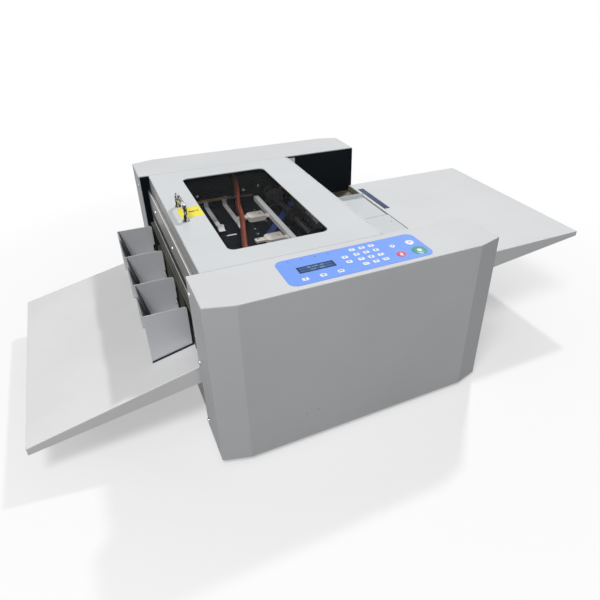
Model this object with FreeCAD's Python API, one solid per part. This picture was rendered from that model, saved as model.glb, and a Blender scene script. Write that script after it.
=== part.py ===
# Business card cutter: a sheet-fed desk machine that slits and cross-cuts printed
# sheets into cards.  Sheets go in from +X, cards drop into the bins at -X.
# Working frame: X along the sheet path, Y across it (operator at -Y), Z up from the
# covers' lower edge.  On export the model is shifted so that the origin is the centre
# of its footprint on the table.

import FreeCAD, Part
import math
import os

V = FreeCAD.Vector
AX, AY, AZ = V(1, 0, 0), V(0, 1, 0), V(0, 0, 1)

# ---- overall sizes (mm) ----
cover_length = 440.0       # along X
cover_depth = 89.4         # each cover, along Y
throat_half = 191.1        # from the middle to a side plate's inner face
feed_level = 176.0         # height of the sheets
upper_height = 83.0        # covers' top above the sheets
sheet = 1.5                # thickness of covers, tables and light brackets
chamfer_x = 40.0           # corner chamfer of a cover, along X
chamfer_y = 11.0           # and along Y
bend = 1.2                 # outer radius of a folded edge
cover_lip = 12.0           # inward lip along a cover's lower edge
foot_height = 8.0
foot_radius = 15.0
foot_inset_x = 34.0
foot_inset_y = 28.0
foot_taper = 2.0
foot_recess_r = 4.0        # screw recess under each foot
foot_recess = 4.0

gap = 0.3                  # clearance between pieces that move past each other
run_fit = 0.05             # radial clearance of a running shaft
over = 1.0                 # how far a cutting solid reaches past what it cuts

# ---- frame ----
plate = 2.5                # side plate thickness
plate_flange = 24.0        # side plate's end flange, inside a cover
plate_drop = 1.9           # side plate's top below the covers' top
wing_drop = 1.0            # side plate's flanges below its top
base_raise = 2.0
base_sheet = 2.0
base_lip = 14.0
panel_setback = 6.5        # end panels, inwards from the covers' ends
screw_low = 17.0           # lowest cover screw, above the covers' lower edge
screw_high = 20.0          # highest one, below their top
screw_head_r = 3.6
screw_head_h = 2.2
screw_r = 2.0
screw_room = 0.2           # clearance of the screws in the covers
screw_l = 8.0
recess_half, recess_t = 2.0, 0.4               # arms of a screw's cross recess
tie_bar_r = 6.0
tie_low_z = 62.0
tie_feed_x = 180.0
tie_top_x, tie_top_drop = 30.0, 23.0
tie_beam_gap = 4.0         # tie bar in front of the cutter's beam
face_holes_x = (-95.5, -76.7, -39.9)           # small holes in the front face
face_hole_z = 48.0
face_hole_r = 1.1
vent_x0 = -140.0
vent_rows = ((60.0, 120.0), (150.0, 210.0))
vent_count = 9
vent_pitch = 12.0
vent_w = 4.0
exit_wall_drop = 8.0       # exit end panel below the sheets
panel_tab = 9.0            # tabs that fix an end panel to the side plates
panel_hem = 8.0
feed_tab = 12.0
feed_tab_drop = 14.0
feed_shelf = 81.0          # shelf of the feed end panel, in from the front side plate

# ---- control panel ----
panel_x0, panel_x1 = -106.7, 104.2
panel_edge = 11.0          # panel behind the front cover's front face
panel_depth = 64.5
panel_corner = 11.0
panel_film = 0.6
display_x0, display_x1 = -86.6, -34.0
display_up, display_depth = 23.0, 16.0         # display behind the panel's front edge
display_lap = 1.0          # cover under the display window's edge
display_gap = 0.5          # display module in the cover's opening
ribbon_x0, ribbon_x1 = 20.0, 40.0              # slot for the overlay's ribbon
ribbon_inset, ribbon_w = 3.0, 5.0
key_h = 0.5
key_w, key_d = 9.0, 6.5
key_corner = 1.2
keypad_x = (3.3, 18.5, 33.5)                   # keys' places: X, and behind the panel's edge
keypad_up = (53.0, 39.0, 25.3, 11.2)
menu_keys = ((-85.5, 8.0), (-60.5, 8.0), (-35.7, 8.0), (-15.0, 38.0), (-15.0, 25.0))
round_keys = ((60.0, 39.0, 4.2), (59.5, 14.0, 6.7), (88.5, 39.0, 6.5), (88.8, 13.8, 11.0))
board_gap = 7.0
board_t = 1.6
board_inset_x, board_inset_y = 6.0, 2.0
pillar_r = 2.5
pillar_inset = 6.0
chip_w, chip_d, chip_h = 24.0, 12.0, 3.0
chip_x, chip_up = 10.0, 27.0
plug_w, plug_d, plug_h = 24.0, 8.0, 9.0
plug_x, plug_up = 60.0, 47.0

# ---- power entry, on the rear cover's feed end ----
entry_inset = 40.0         # inwards from the rear cover's rear face
inlet_z, inlet_w, inlet_h = 46.0, 21.0, 28.0
inlet_flange_w, inlet_flange_h = 26.0, 50.0
inlet_flange_t = 2.2
inlet_depth = 26.0
inlet_corner = 6.0
socket_w, socket_h, socket_depth = 16.0, 24.0, 16.0
pin_half_w, pin_half_t, pin_drop = 2.0, 1.0, 2.0
pin_places = ((-1.5, -7.0), (2.5, 0.0), (-1.5, 7.0))
switch_z, switch_w, switch_h = 98.0, 22.0, 30.0
switch_depth = 20.0
switch_frame_t, switch_frame = 2.0, 2.0
switch_well_w, switch_well_h, switch_well = 16.0, 24.0, 10.0
rocker_half, rocker_half_w = 10.6, 7.6
rocker_tilt = 8.0
rocker_out = 4.4           # rocker's high edge, out from the cover
rocker_in = 3.0            # rocker's turning axis, inside the cover
rocker_dip = 2.2           # depth of the V in its face
rocker_back, rocker_taper = 2.0, 1.2

# ---- sheet path ----
bed_sheet = 2.0
bed_drop = 0.4             # bed below the sheets
bed_rim = 10.0
bed_back = 5.0             # bed's edge behind the shear line
bed_front = 0.5            # and before the infeed plates
bed_room = 1.5
knife_slot = 5.0
shaft_r = 5.0
shaft_end = 3.0            # plain shafts stand out this far from the side plates
bearing_r = 8.0
bearing_flange_r = 9.5
bearing_flange = 1.0
bearing_width = 5.0

feed_x = 56.0
pickup_x = 92.0
feed_roller_r = 15.0
feed_roller_w = 20.0
feed_roller_y = (-70.0, -20.0)
feed_shaft_end = 20.0      # feed shaft's end, out from the front side plate
pickup_pulley_r = 8.0
belt_y = -45.0
small_belt_w = 8.0
small_belt_t = 1.5
arm_t = 3.0
arm_out = 6.0              # feed arm's cheeks, out from the rollers
arm_eye_r = 9.0
arm_roof = 4.0             # roof of the feed arm, over the rollers
arm_roof_t = 2.0
retard_half = 8.5
retard_t = 4.0
retard_floor = 3.0

infeed_split = 20.2        # front infeed plate ends here, and the side guide goes under it
infeed_x0 = 66.0
infeed_gap = 2.4           # infeed plates to the feed table
infeed_hem = 3.0
infeed_leg = 81.0          # front plate's legs, in from the front side plate
infeed_leg_inset = 40.0
infeed_screw_in, infeed_screw_y = 10.3, -10.8
infeed_screw_r = 1.8
support_drop = 12.5        # shelf under the infeed plates, below the sheets
support_flange = 12.0
sheet_front = -155.0       # fixed fence
fence_h = 16.0
fence_foot = 10.0
fence_inset = 10.0
guide_y = 121.0            # side guide's fence
guide_min, guide_max = 46.0, 160.0
guide_reach = 148.0        # side guide's plate, from its fence to its front edge
guide_lip = 7.0            # side guide's fence, over the sheets
guide_leg_inset = 40.0
guide_leg_x = 10.0
guide_stud_in = (29.0, 26.1)                   # studs, in from the infeed plates' ends
guide_stud_y = 60.0
guide_stud_r, guide_stud_head_r, guide_stud_head = 3.0, 6.0, 2.5
guide_slot_room = 5.0

slit_x = 25.0
knife_r = 18.5
knife_bite = 1.0           # overlap of an upper and a lower knife
knife_t = 2.0
knife_bevel = 0.8
hub_r = 9.0
hub_w = 8.0
gear_module = 1.5
gear_w = 9.0
gear_backlash = 0.25

transport_x = -32.0
transport_r = 12.0
transport_w = 18.0
idler_r = 4.5
idler_w = 14.0
idler_pin_r = 1.5

exit_roller_in = 28.0      # exit rollers, inwards from the covers' ends
exit_roller_r = 12.0
exit_idler_r = 9.0
exit_roller_w = 30.0

pulley_r = 12.0
pulley_w = 9.0
pulley_gap = 4.0           # pulleys and gears, out from the side plate
pulley_flange = 1.4
pulley_end = 2.0           # driven shafts stand out this far from their pulleys
belt_t = 1.8
motor_x, motor_z = -70.0, 90.0
motor_r = 27.0
motor_l = 70.0
motor_rim = 3.0
motor_boss = 2.5           # wall of the motor's boss
motor_boss_room = 0.5      # boss in the side plate's hole
motor_bore = 25.0
spindle_l = 20.0           # motor spindle's length inside the motor
terminal_half_x, terminal_half_z, terminal_l = 8.0, 4.0, 4.0
gear_case = 22.0           # depth of a geared motor's case
gear_pad, gear_pad_r = 2.0, 3.5                # its feet on the side plate
feed_case, feed_can = (-15.0, 25.0, -14.0, 26.0), 36.0
cutter_case, cutter_can = (-24.0, 24.0, -24.0, 24.0), 40.0

# ---- cross cutter ----
cut_in = 52.0              # shear line, inwards from the covers' ends
cut_stroke = 12.0
blade_t = 3.0
blade_open = 6.0           # upper blade above the sheets at rest
blade_rake = 4.0           # how much higher the blade's edge is at its far end
blade_height = 30.0
blade_room = 6.0           # blade's ends, in from the beam's legs
blade_ground = 0.2         # lower blade's edge below the sheets
lower_blade_height = 26.0
lower_blade_t = 8.0
lower_blade_lap = 4.0
beam_t = 15.0
beam_height = 32.0
beam_lift = 4.0            # beam above the blade's higher edge
leg_w = 8.0
leg_room = 15.1            # beam's legs, in from the side plates
anvil_t = 11.0
anvil_height = 22.0
cam_back = 10.0            # cam shaft behind the shear line
cam_drop = 80.0            # and below the sheets
cam_base = 12.0            # cam's lowest lift, from its axis
cam_w = 7.0
cam_room = 3.1             # cams to the side plates
cam_steps = 20
foot_t = 8.0
seat_drop = 56.0           # springs' seats below the cam shaft
spring_r = 6.0
spring_wire = 0.8
spring_turns = 6
spring_shift = 2.0         # springs behind the cam shaft
spring_in = 3.0            # and inside the cams' inner faces
post_wall = 2.0
post_spigot = 12.0
spigot_room = 1.2
guide_strip = 4.0          # strips that keep the beam's legs upright

# ---- bar, pressure blocks and hold-down strips ----
bar_x0, bar_x1 = -6.6, 2.7
bar_low, bar_high = 1.5, 11.0                  # above the sheets
block_x0, block_x1 = -48.0, -16.0
block_half = 13.0
block_nose = 5.0
block_low, block_high = 2.0, 10.6              # above the sheets
block_tab, block_tab_half, block_tab_t = 18.0, 6.0, 3.0
block_tab_corner = 2.0
strip_x = (-68.0, -105.0)
strip_reach = 109.1        # hold-down strips, in from the rear side plate
strip_half = 4.0
hold_z, hold_t, hold_foot = 2.5, 2.0, 13.5     # strips above the sheets, thickness, foot

# ---- wiring harness ----
harness_r = 3.5
harness_room = 0.8         # clearance in its two holes
harness_end_x, harness_end_up = -44.0, 62.0    # rear hole, and its height over the sheets
harness_front_x, harness_front_up = -104.0, 20.0
harness_out = 5.4          # its ends, outside the side plates

# ---- lanes ----
divider_y = (-135.4, -45.1, 51.0, 156.2)
lane_y = [(a + b) / 2 for a, b in zip(divider_y, divider_y[1:])]

# ---- lid ----
lid_inset = 17.7           # lid's exit edge, inwards from the covers' ends
lid_right = 65.3
lid_gap = 0.6
lid_sheet = 1.6
lid_rim = 12.0
rim_inset = 4.0
lid_flange = 30.0
window_frame = 51.3        # window behind the lid's exit edge
window_x1 = 2.6
window_side = 41.1         # window, in from the side plates
window_corner = 11.0
window_t = 3.0
window_lap = 9.0
handle_inset = 19.8        # handle behind the lid's exit edge
handle_half = 30.0
handle_height = 27.0
handle_r = 3.0
handle_turn = 9.0
handle_bolt_r = 2.0
washer_r, washer_t = 5.2, 1.5
hinge_out = 3.2            # hinge pins, outside the lid's edge
hinge_barrel_r = 3.0
hinge_pin_r = 1.5
hinge_drop = 3.5           # hinge pins below the covers' top
hinge_y = (-120.0, 120.0)
hinge_w = 50.0
leaf_t = 1.5
leaf_h = 24.0
leaf_reach = 26.0
bridge_h = 33.0            # lower edge of the cross member over the feed mouth, below the top
bridge_foot, bridge_tab, bridge_drop = 12.0, 14.0, 2.0

# ---- tables ----
feed_length = 276.0        # tables, out from the covers' ends
feed_side = 0.4            # feed table, in from the side plates' inner faces
feed_skirt_end = 8.7
feed_skirt_slope = 0.1166
exit_length = 233.7
exit_side = 1.4
exit_drop = 68.7           # exit table below the sheets, at the covers' ends
exit_slope = 0.2329
exit_skirt_end = 11.7
exit_skirt_slope = 0.074
shelf_end, shelf_w, shelf_rise = 30.0, 12.0, 1.0
exit_plate_in = 12.5       # plate above the exit gap, inwards from the covers' ends
exit_plate_low, exit_plate_drop = 6.0, 24.0
exit_hem = 3.0
exit_plate_tab = 5.0
lip_bar_side = 29.1        # bar below the exit gap, in from the side plates
lip_bar_drop = 3.0
lip_bar_out, lip_bar_in = 4.0, 3.0

# ---- card bins ----
bin_rise = 0.6             # bins' top above the sheets
bin_inset = 5.5            # bins' machine side, inwards from the covers' ends
bin_depth = 62.5
bin_sheet = 1.0
bin_slide = 15.0           # a divider's travel each way
bin_play = 3.0             # left between a back's end and the next divider when both slide together
bin_lap = 17.0             # lip over the end of the neighbour's leaning back
bin_clear = 1.0            # between a lip and that back
notch_up, notch_h, notch_in = 26.0, 14.0, 3.0
strip_t = 2.2
strip_w = 4.0
strip_drop = 18.0          # top of its upright part, below the bin's top

# ---- waste tray ----
tray_side = 41.1           # tray, in from the side plates
tray_z0 = 6.0
tray_height = 44.0
tray_inset = 15.0          # tray's exit end, inwards from the covers' ends
tray_right = 60.0
tray_front = 1.5
tray_front_lap = 6.0
tray_room_y, tray_room_z = 2.0, 3.0            # opening round the tray
finger_half, finger_h, finger_drop = 30.0, 16.0, 8.0
runner_out, runner_in = 12.0, 34.0             # runners, in from the tray's sides
runner_inset_x0, runner_inset_x1 = 4.0, 10.0

# ---- electronics ----
supply_x0, supply_x1, supply_z0, supply_z1 = 50.0, 160.0, 78.0, 138.0
supply_d = 42.0
supply_slots, supply_slot_pitch, supply_slot_w = 11, 8.0, 3.0
supply_slot_x, supply_slot_z, supply_slot_d = 14.0, 12.0, 3.0
main_x0, main_x1, main_z0, main_z1 = -128.0, -4.0, 62.0, 148.0
main_gap = 8.0

# ---- places worked out from the sizes above ----
cover_height = feed_level + upper_height
end_x = cover_length / 2
plate_in = throat_half                         # side plates' inner faces
seam_y = plate_in + plate                      # and outer faces, where the covers meet the lid
half_depth = seam_y + cover_depth
plate_top = cover_height - plate_drop
screw_rows = (screw_low, (screw_low + cover_height - screw_high) / 2, cover_height - screw_high)
base_top = base_raise + base_sheet
exit_panel_x = -end_x + panel_setback + sheet  # inner face of the exit end panel
feed_panel_x = end_x - panel_setback           # outer face of the feed end panel
panel_y0 = -half_depth + panel_edge
panel_y1 = panel_y0 + panel_depth
display_y0 = panel_y0 + display_up
display_y1 = display_y0 + display_depth
entry_y = half_depth - entry_inset
rocker_x = end_x - rocker_in
bed_top = feed_level - bed_drop
bed_low = bed_top - bed_sheet
feed_z = feed_level + gap + feed_roller_r
slit_low_z = feed_level - knife_r + knife_bite / 2
slit_high_z = feed_level + knife_r - knife_bite / 2
gear_teeth = int(round((slit_high_z - slit_low_z) / gear_module))
transport_z = feed_level - transport_r
idler_z = feed_level + gap + idler_r
exit_x = -end_x + exit_roller_in
exit_low_z = feed_level - exit_roller_r
exit_high_z = feed_level + gap + exit_idler_r
pulley_y0 = -seam_y - pulley_gap - pulley_w
pulley_y1 = -seam_y - pulley_gap
arm_y = (feed_roller_y[0] - feed_roller_w / 2 - arm_out, feed_roller_y[1] + feed_roller_w / 2 + arm_out)
arm_top = feed_z + feed_roller_r + arm_roof
support_z0 = feed_level - support_drop
support_z1 = support_z0 + sheet
infeed_x1 = feed_panel_x - infeed_gap
guide_studs_x = (infeed_x0 + guide_stud_in[0], infeed_x1 - guide_stud_in[1])
guide_slot_y0 = guide_stud_y - (guide_y - guide_min) - guide_slot_room
guide_slot_y1 = guide_stud_y + (guide_max - guide_y) + guide_slot_room
guide_plate_z1 = feed_level - sheet - gap
cut_x = -end_x + cut_in
cam_x, cam_z = cut_x - cam_back, feed_level - cam_drop
leg_out = plate_in - leg_room
leg_in = leg_out - leg_w
blade_half = leg_in - blade_room
beam_x0 = cut_x + blade_t
beam_x1 = beam_x0 + beam_t
beam_z0 = feed_level + blade_open + blade_rake + beam_lift
beam_z1 = beam_z0 + beam_height
lower_blade_top = feed_level - blade_ground
foot_z = cam_z - cam_base - gap                # top of a beam foot, under its cam
cam_in = plate_in - cam_room - cam_w
cam_rise = cut_stroke / math.pi                # lift for each radian of cam turn
spring_x, spring_y = cam_x + spring_shift, cam_in - spring_in
spring_seat_z = cam_z - seat_drop
spring_top = foot_z - foot_t - gap
tie_places = ((beam_x1 + tie_beam_gap + tie_bar_r, tie_low_z), (tie_feed_x, tie_low_z),
              (tie_top_x, cover_height - tie_top_drop))
bar_z0, bar_z1 = feed_level + bar_low, feed_level + bar_high
block_z0, block_z1 = feed_level + block_low, feed_level + block_high
harness_end_z = feed_level + harness_end_up
harness_front_z = feed_level + harness_front_up
lid_left = -end_x + lid_inset
window_x0, window_half = lid_left + window_frame, plate_in - window_side
handle_x = lid_left + handle_inset
hinge_x, hinge_z = lid_right + hinge_out, cover_height - hinge_drop
bridge_z0 = cover_height - bridge_h
feed_end, feed_half = end_x + feed_length, plate_in - feed_side
exit_end, exit_half = -end_x - exit_length, plate_in - exit_side
exit_top = feed_level - exit_drop
exit_plate_x = -end_x + exit_plate_in
lip_bar_half = plate_in - lip_bar_side
bin_top = feed_level + bin_rise
bin_right = -end_x + bin_inset
bin_left = bin_right - bin_depth
tray_half = plate_in - tray_side
tray_left = -end_x + tray_inset
centre_x = (feed_end + exit_end) / 2


def box(x0, x1, y0, y1, z0, z1):
    return Part.makeBox(x1 - x0, y1 - y0, z1 - z0, V(x0, y0, z0))


def rod_y(x, z, r, y0, y1):
    return Part.makeCylinder(r, y1 - y0, V(x, y0, z), AY)


def rod_x(y, z, r, x0, x1):
    return Part.makeCylinder(r, x1 - x0, V(x0, y, z), AX)


def rod_z(x, y, r, z0, z1):
    return Part.makeCylinder(r, z1 - z0, V(x, y, z0), AZ)


def join(solids):
    first = solids[0]
    return first.fuse(solids[1:]).removeSplitter() if len(solids) > 1 else first


def group(solids):
    return Part.makeCompound(solids)


def face_xy(points, z):
    return Part.Face(Part.makePolygon([V(x, y, z) for x, y in points + points[:1]]))


def prism_y(points, y0, y1):
    """Solid with an outline in X and Z, between two places along Y."""
    wire = Part.makePolygon([V(x, y0, z) for x, z in points + points[:1]])
    return Part.Face(wire).extrude(V(0, y1 - y0, 0))


def mirror_y(shape):
    return shape.mirror(V(0, 0, 0), AY)


def both_sides(shape):
    return [shape, mirror_y(shape)]


def rounded_plate(x0, x1, y0, y1, z0, z1, radius):
    solid = box(x0, x1, y0, y1, z0, z1)
    upright = [e for e in solid.Edges if abs(e.tangentAt(e.FirstParameter).z) > 0.99]
    return solid.makeFillet(radius, upright)


# ---------------------------------------------------------------- covers and frame

def cover_plan(grow_seam):
    """Plan outline of the front cover; its open side is moved in by grow_seam."""
    seam = -seam_y + grow_seam
    back = -half_depth
    return [(-end_x, seam), (-end_x, back + chamfer_y), (-end_x + chamfer_x, back),
            (end_x - chamfer_x, back), (end_x, back + chamfer_y), (end_x, seam)]


def cover_shell():
    outer = face_xy(cover_plan(0), 0).extrude(V(0, 0, cover_height))
    folded = [e for e in outer.Edges
              if e.BoundBox.ZMax > cover_height / 2 and e.BoundBox.YMin < -seam_y - 0.01
              and not (e.BoundBox.ZMin < 0.01 and e.BoundBox.ZMax < 0.01)]
    outer = outer.makeFillet(bend, folded)
    wire = face_xy(cover_plan(3 * sheet), 0).OuterWire.makeOffset2D(-sheet, 2)
    inner = Part.Face(wire).extrude(V(0, 0, cover_height - sheet + over))
    inner.translate(V(0, 0, -1))
    lip = box(-end_x + chamfer_x, end_x - chamfer_x,
              -half_depth + sheet, -half_depth + sheet + cover_lip, 0, sheet)
    return outer.cut(inner).fuse(lip)


def screw_points():
    """Side-face screws of the covers, as end, Y and Z."""
    y = seam_y + plate_flange / 2
    return [(end, side * y, z) for end in (-1, 1) for side in (-1, 1) for z in screw_rows]


def screw_holes(radius):
    return [rod_x(y, z, radius, end * end_x - screw_l, end * end_x + screw_l)
            for end, y, z in screw_points()]


def front_cover():
    shell = cover_shell()
    z0, z1 = cover_height - sheet - over, cover_height + over
    cuts = screw_holes(screw_r + screw_room)
    cuts.append(box(display_x0 + display_lap, display_x1 - display_lap,
                    display_y0 + display_lap, display_y1 - display_lap, z0, z1))
    cuts.append(box(ribbon_x0, ribbon_x1, panel_y0 + ribbon_inset,
                    panel_y0 + ribbon_inset + ribbon_w, z0, z1))
    cuts += [rod_y(x, face_hole_z, face_hole_r, -half_depth - over, -half_depth + sheet + over)
             for x in face_holes_x]
    return shell.cut(cuts)


def end_box(x0, x1, z, width, height, grow=0.0):
    """Block centred on the power entry, at x0..x1 from the cover's end face."""
    return box(end_x + x0, end_x + x1, entry_y - width / 2 - grow, entry_y + width / 2 + grow,
               z - height / 2 - grow, z + height / 2 + grow)


def rear_cover():
    shell = mirror_y(cover_shell())
    cuts = screw_holes(screw_r + screw_room)
    cuts.append(end_box(-sheet - over, over, inlet_z, inlet_w, inlet_h, screw_room))
    cuts.append(end_box(-sheet - over, over, switch_z, switch_w, switch_h, screw_room))
    for i in range(vent_count):
        x = vent_x0 + vent_pitch * i
        for z0, z1 in vent_rows:
            cuts.append(box(x - vent_w / 2, x + vent_w / 2, half_depth - sheet - over,
                            half_depth + over, z0, z1))
    return shell.cut(cuts)


def shaft_places():
    """Every bearing's X and Z."""
    return [(feed_x, feed_z), (slit_x, slit_low_z), (slit_x, slit_high_z),
            (transport_x, transport_z), (exit_x, exit_low_z), (exit_x, exit_high_z),
            (cam_x, cam_z)]


def side_plate(side):
    """Black side plate; side is -1 in front and 1 behind."""
    flange_x = end_x - sheet
    y0, y1 = plate_in - over, seam_y + over
    web = box(-flange_x, flange_x, plate_in, seam_y, base_raise, plate_top)
    wings = [box(x, x + plate, seam_y, seam_y + plate_flange, base_raise, plate_top - wing_drop)
             for x in (-flange_x, flange_x - plate)]
    cuts = [rod_y(x, z, bearing_r, y0, y1) for x, z in shaft_places()]
    if side < 0:
        boss_r = shaft_r + motor_boss + motor_boss_room
        cuts.append(rod_y(motor_x, motor_z, boss_r, y0, y1))
        cuts.append(rod_y(harness_front_x, harness_front_z, harness_r + harness_room, y0, y1))
    else:
        cuts.append(rod_y(harness_end_x, harness_end_z, harness_r + harness_room, y0, y1))
    body = join([web] + wings).cut(cuts)
    if side < 0:
        body = mirror_y(body)
    return body.cut(screw_holes(screw_r))


def base_plate():
    x0, x1 = exit_panel_x, feed_panel_x - sheet
    floor = box(x0, x1, -plate_in, plate_in, base_raise, base_top)
    lips = both_sides(box(x0, x1, plate_in - base_sheet, plate_in, base_raise, base_lip))
    return join([floor] + lips)


def foot_places():
    x = end_x - foot_inset_x
    y = seam_y - foot_inset_y
    return [(a * x, b * y) for a in (-1, 1) for b in (-1, 1)]


def rubber_feet():
    feet = []
    for x, y in foot_places():
        pad = Part.makeCone(foot_radius - foot_taper, foot_radius, foot_height + base_raise,
                            V(x, y, -foot_height), AZ)
        recess = rod_z(x, y, foot_recess_r, -foot_height - over, -foot_height + foot_recess)
        feet.append(pad.cut(recess))
    return group(feet)


def exit_end_panel():
    """Wall under the exit gap, with the waste tray's opening at its foot."""
    x0, x1 = exit_panel_x - sheet, exit_panel_x
    top = feed_level - exit_wall_drop
    wall = box(x0, x1, -plate_in, plate_in, base_raise, top)
    half = tray_half + tray_room_y
    opening = box(x0 - over, x1 + over, -half, half, base_raise - over,
                  tray_z0 + tray_height + tray_room_z)
    shelf = box(x1, x1 + panel_hem, -plate_in, plate_in, top - sheet, top)
    tabs = both_sides(box(x1, x1 + panel_tab, plate_in - sheet, plate_in, base_lip + over, top - sheet))
    return join([wall.cut(opening), shelf] + tabs)


def feed_end_panel():
    x0, x1 = feed_panel_x - sheet, feed_panel_x
    top = feed_level - sheet
    wall = box(x0, x1, -plate_in, plate_in, base_raise, top)
    shelf = box(x0 - feed_tab, x0, -plate_in, -plate_in + feed_shelf, top - sheet, top)
    tabs = both_sides(box(x0 - feed_tab, x0, plate_in - sheet, plate_in,
                          base_lip + over, support_z0 - feed_tab_drop))
    return join([wall, shelf] + tabs)


def tie_bars():
    return group([rod_y(x, z, tie_bar_r, -plate_in, plate_in) for x, z in tie_places])


def domed_screw(end, y, z):
    """Domed, cross-recessed screw whose head bears on an end face of a cover."""
    face = end * end_x
    head = Part.makeCylinder(screw_head_r, screw_head_h, V(face, y, z), V(end, 0, 0))
    rim = [e for e in head.Edges if abs(e.CenterOfMass.x - face - end * screw_head_h) < 0.01]
    head = head.makeFillet(screw_head_h * 0.8, rim)
    shank = Part.makeCylinder(screw_r, screw_l, V(face, y, z), V(-end, 0, 0))
    far = face + end * (screw_head_h + over)
    near = face + end * screw_head_h * 0.4
    slots = [box(min(far, near), max(far, near), y - a, y + a, z - b, z + b)
             for a, b in ((recess_half, recess_t), (recess_t, recess_half))]
    return join([head, shank]).cut(slots)


def cover_screws():
    return group([domed_screw(end, y, z) for end, y, z in screw_points()])


# ------------------------------------------------------------------------- lid

def top_lid():
    half = seam_y - lid_gap
    z0 = cover_height - lid_sheet
    top = box(lid_left, lid_right, -half, half, z0, cover_height)
    flange = box(lid_left, lid_left + lid_sheet, -half, half, cover_height - lid_flange, z0)
    rims = both_sides(box(lid_left + rim_inset, hinge_x - hinge_w / 2, plate_in - gap - lid_sheet,
                          plate_in - gap, z0 - lid_rim, z0))
    flange = flange.cut(both_sides(box(lid_left - over, lid_left + lid_sheet + over,
                                       plate_in - gap, half + over, 0, plate_top + gap)))
    folded = join([top, flange] + rims)
    edge = [e for e in folded.Edges if abs(e.BoundBox.XMin - lid_left) < 0.01
            and abs(e.BoundBox.XMax - lid_left) < 0.01 and abs(e.BoundBox.ZMin - cover_height) < 0.01]
    folded = folded.makeFillet(bend, edge)
    opening = rounded_plate(window_x0, window_x1, -window_half, window_half,
                            z0 - over, cover_height + over, window_corner)
    bolts = [rod_z(handle_x, y, handle_bolt_r, z0 - over, cover_height + over)
             for y in (-handle_half, handle_half)]
    return folded.cut([opening] + bolts)


def lid_window():
    z1 = cover_height - lid_sheet
    return rounded_plate(window_x0 - window_lap, window_x1 + window_lap, -window_half - window_lap,
                         window_half + window_lap, z1 - window_t, z1, window_corner)


def lid_handle():
    """Bow handle: one bent rod with two washers, bolted through the lid."""
    x, y0, y1 = handle_x, -handle_half, handle_half
    z0 = cover_height
    top = cover_height + handle_height - handle_r
    turn = handle_turn
    bulge = turn * (1 - math.sqrt(0.5))
    pieces = [
        Part.LineSegment(V(x, y0, z0), V(x, y0, top - turn)),
        Part.Arc(V(x, y0, top - turn), V(x, y0 + bulge, top - bulge), V(x, y0 + turn, top)),
        Part.LineSegment(V(x, y0 + turn, top), V(x, y1 - turn, top)),
        Part.Arc(V(x, y1 - turn, top), V(x, y1 - bulge, top - bulge), V(x, y1, top - turn)),
        Part.LineSegment(V(x, y1, top - turn), V(x, y1, z0))]
    path = Part.Wire([p.toShape() for p in pieces])
    ring = Part.Wire(Part.makeCircle(handle_r, V(x, y0, z0), AZ))
    bow = path.makePipeShell([ring], True, False)
    bolts = [rod_z(x, y, handle_bolt_r - screw_room, z0 - lid_sheet - handle_bolt_r, z0) for y in (y0, y1)]
    washers = [rod_z(x, y, washer_r, z0, z0 + washer_t) for y in (y0, y1)]
    return join([bow] + bolts + washers)


def hinge_knuckles(y, fixed):
    """Spans of one hinge's knuckles: the outer two are fixed, the middle one moves."""
    y0, third = y - hinge_w / 2, hinge_w / 3
    if fixed:
        return [(y0, y0 + third), (y0 + 2 * third, y0 + hinge_w)]
    return [(y0 + third + gap, y0 + 2 * third - gap)]


def frame_hinge_leaves():
    solids = []
    x0, x1 = hinge_x + hinge_barrel_r - leaf_t, hinge_x + hinge_barrel_r
    seat = hinge_z - hinge_barrel_r - gap
    for y in hinge_y:
        pieces = [box(x0, x1, y - hinge_w / 2, y + hinge_w / 2, hinge_z - leaf_h, seat)]
        for a, b in hinge_knuckles(y, True):
            pieces.append(rod_y(hinge_x, hinge_z, hinge_barrel_r, a, b))
            pieces.append(box(x0, x1, a, b, seat, hinge_z))
        bore = rod_y(hinge_x, hinge_z, hinge_pin_r, y - hinge_w, y + hinge_w)
        solids.append(join(pieces).cut(bore))
    return group(solids)


def lid_hinge_leaves():
    solids = []
    z1 = cover_height - lid_sheet
    for y in hinge_y:
        a, b = hinge_knuckles(y, False)[0]
        barrel = rod_y(hinge_x, hinge_z, hinge_barrel_r, a, b)
        leaf = box(hinge_x - leaf_reach, hinge_x, a, b, z1 - leaf_t, z1)
        bore = rod_y(hinge_x, hinge_z, hinge_pin_r + run_fit, a - over, b + over)
        solids.append(join([barrel, leaf]).cut(bore))
    return group(solids)


def hinge_pins():
    return group([rod_y(hinge_x, hinge_z, hinge_pin_r, y - hinge_w / 2, y + hinge_w / 2)
                  for y in hinge_y])


def feeder_bridge():
    """Cross member over the feed mouth, which carries the lid's hinges."""
    x0 = hinge_x + hinge_barrel_r
    z1 = plate_top - bridge_drop
    wall = box(x0, x0 + sheet, -plate_in, plate_in, bridge_z0, z1)
    foot = box(x0, x0 + bridge_foot, -plate_in, plate_in, bridge_z0, bridge_z0 + sheet)
    tabs = both_sides(box(x0, x0 + bridge_tab, plate_in - sheet, plate_in, bridge_z0, z1))
    return join([wall, foot] + tabs)


# --------------------------------------------------------------- control panel

def control_overlay():
    z0 = cover_height
    film = rounded_plate(panel_x0, panel_x1, panel_y0, panel_y1, z0, z0 + panel_film, panel_corner)
    return film.cut(box(display_x0, display_x1, display_y0, display_y1, z0 - over, z0 + over))


def display_window():
    return box(display_x0, display_x1, display_y0, display_y1,
               cover_height, cover_height + panel_film)


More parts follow.
